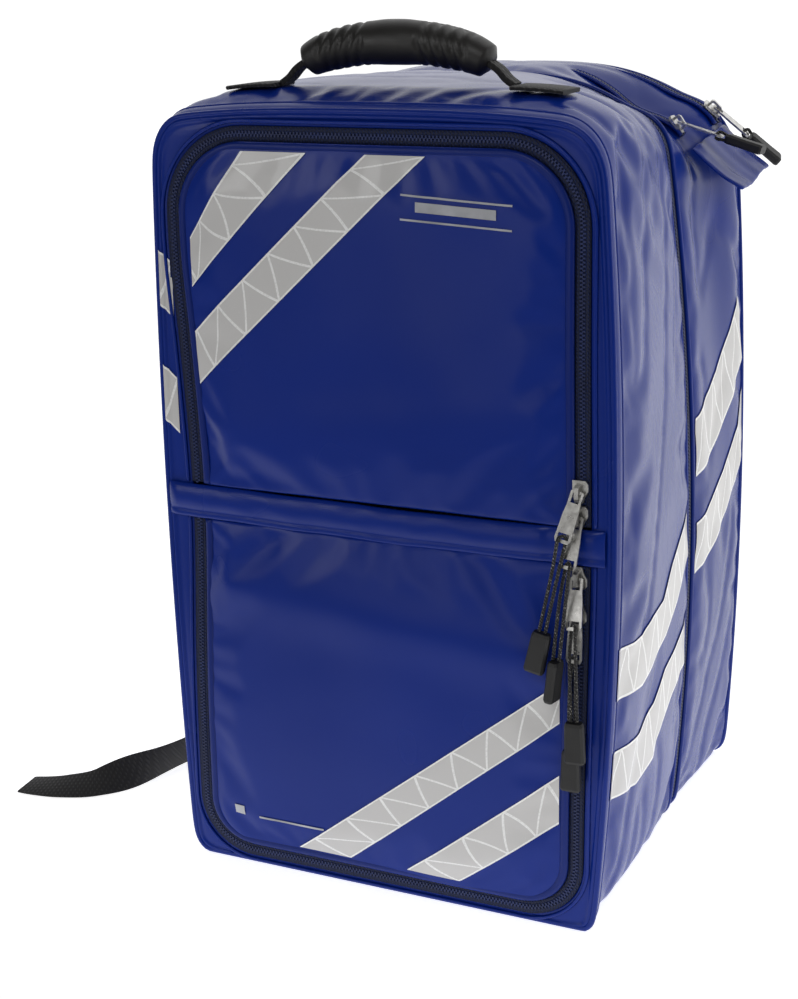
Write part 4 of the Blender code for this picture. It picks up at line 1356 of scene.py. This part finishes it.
def area(name, place, aim, size, energy):
    light = bpy.data.lights.new(name, "AREA")
    light.shape, light.size, light.size_y = "RECTANGLE", *size
    light.energy = energy
    made = link(bpy.data.objects.new(name, light))
    made.location = place
    made.rotation_euler = (Vector(aim) - Vector(place)).to_track_quat("-Z", "Y").to_euler()


def stage():
    white = bpy.data.materials.new("pale_floor")
    white.use_nodes = True
    shader = white.node_tree.nodes["Principled BSDF"]
    shader.inputs["Base Color"].default_value = (0.9, 0.9, 0.9, 1)
    shader.inputs["Roughness"].default_value = 0.9
    shader.inputs["Emission Color"].default_value = (1, 1, 1, 1)
    place = white.node_tree.nodes.new("ShaderNodeTexCoord")
    parts = white.node_tree.nodes.new("ShaderNodeSeparateXYZ")
    white.node_tree.links.new(place.outputs["Object"], parts.inputs["Vector"])
    # The floor glows, a painted light on the bag's lower parts, and its colour and glow fall off towards the
    # camera: painted shade in front of the bag, so the bag's front reflects less light.
    for socket, dark, bright in (("Emission Strength", 0.06, 0.80), ("Base Color", 0.34, 0.90)):
        painted_shade_falloff = ranged(white.node_tree, parts.outputs["Y"], -0.66, -0.28, dark, bright)
        white.node_tree.links.new(painted_shade_falloff, shader.inputs[socket])
    size = 6.0
    floor = mesh_object("floor", [(-size, -size, 0), (size, -size, 0), (size, size, 0), (-size, size, 0)],
                        [(0, 1, 2, 3)], white, smooth=False)

    world = bpy.data.worlds.new("studio")
    bpy.context.scene.world = world
    world.use_nodes = True
    tree = world.node_tree
    where = tree.nodes.new("ShaderNodeTexCoord")
    split = tree.nodes.new("ShaderNodeSeparateXYZ")
    tree.links.new(where.outputs["Generated"], split.inputs["Vector"])
    spread = ranged(tree, split.outputs["Y"], -0.10, 0.65, 0.09, 1.05)
    tree.links.new(spread, tree.nodes["Background"].inputs["Strength"])
    tree.nodes["Background"].inputs["Color"].default_value = (1, 1, 1, 1)

    area("window_right", (2.2, -0.25, 1.25), (0.10, 0.0, 0.28), (0.9, 1.4), 6)
    area("front_fill", (-1.6, -2.4, 1.1), (0, -0.15, 0.3), (0.7, 1.2), 9)
    area("ceiling", (0.6, 0.5, 2.3), (0, 0, 0.5), (1.4, 1.4), 4)
    area("low_front", (-0.5, -2.2, 0.35), (0, 0, 0.15), (1.0, 0.5), 2.0)
    area("front_strip", (0.2, -1.9, 1.7), (0, -0.15, 0.15), (0.8, 0.35), 7)

    camera = link(bpy.data.objects.new("camera", bpy.data.cameras.new("camera")))
    camera.data.lens, camera.data.sensor_width = 64.65, 36
    yaw, pitch, roll = (math.radians(v) for v in (-25.168, 16.735, -1.0526))
    look = Vector((math.sin(yaw) * math.cos(pitch), math.cos(yaw) * math.cos(pitch), -math.sin(pitch)))
    right = look.cross(Vector((0, 0, 1))).normalized()
    up = right.cross(look)
    right, up = right * math.cos(roll) + up * math.sin(roll), up * math.cos(roll) - right * math.sin(roll)
    camera.matrix_world = Matrix.Translation((0.48035, -1.14142, 0.60864)) \
        @ Matrix((right, up, -look)).transposed().to_4x4()
    bpy.context.scene.camera = camera
    bpy.context.scene.view_settings.view_transform = "Standard"


def build():
    stage()
    strap_tail()
    pulls()
    front, rear = front_body(), rear_body()
    main_zip()
    spine()
    welts()
    upper, lower = lid("upper_lid_cloth", True), lid("lower_lid_cloth", False)
    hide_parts("upper_lid_panel")
    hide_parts("lower_lid_panel")
    front_stripes(upper, lower)
    marks(upper, lower)
    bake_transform(upper)
    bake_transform(lower)
    lid_zip(True)
    lid_zip(False)
    middle_band()
    side_stripes(front, rear)
    crown()
    handle()
    harness()
    inside()


build()
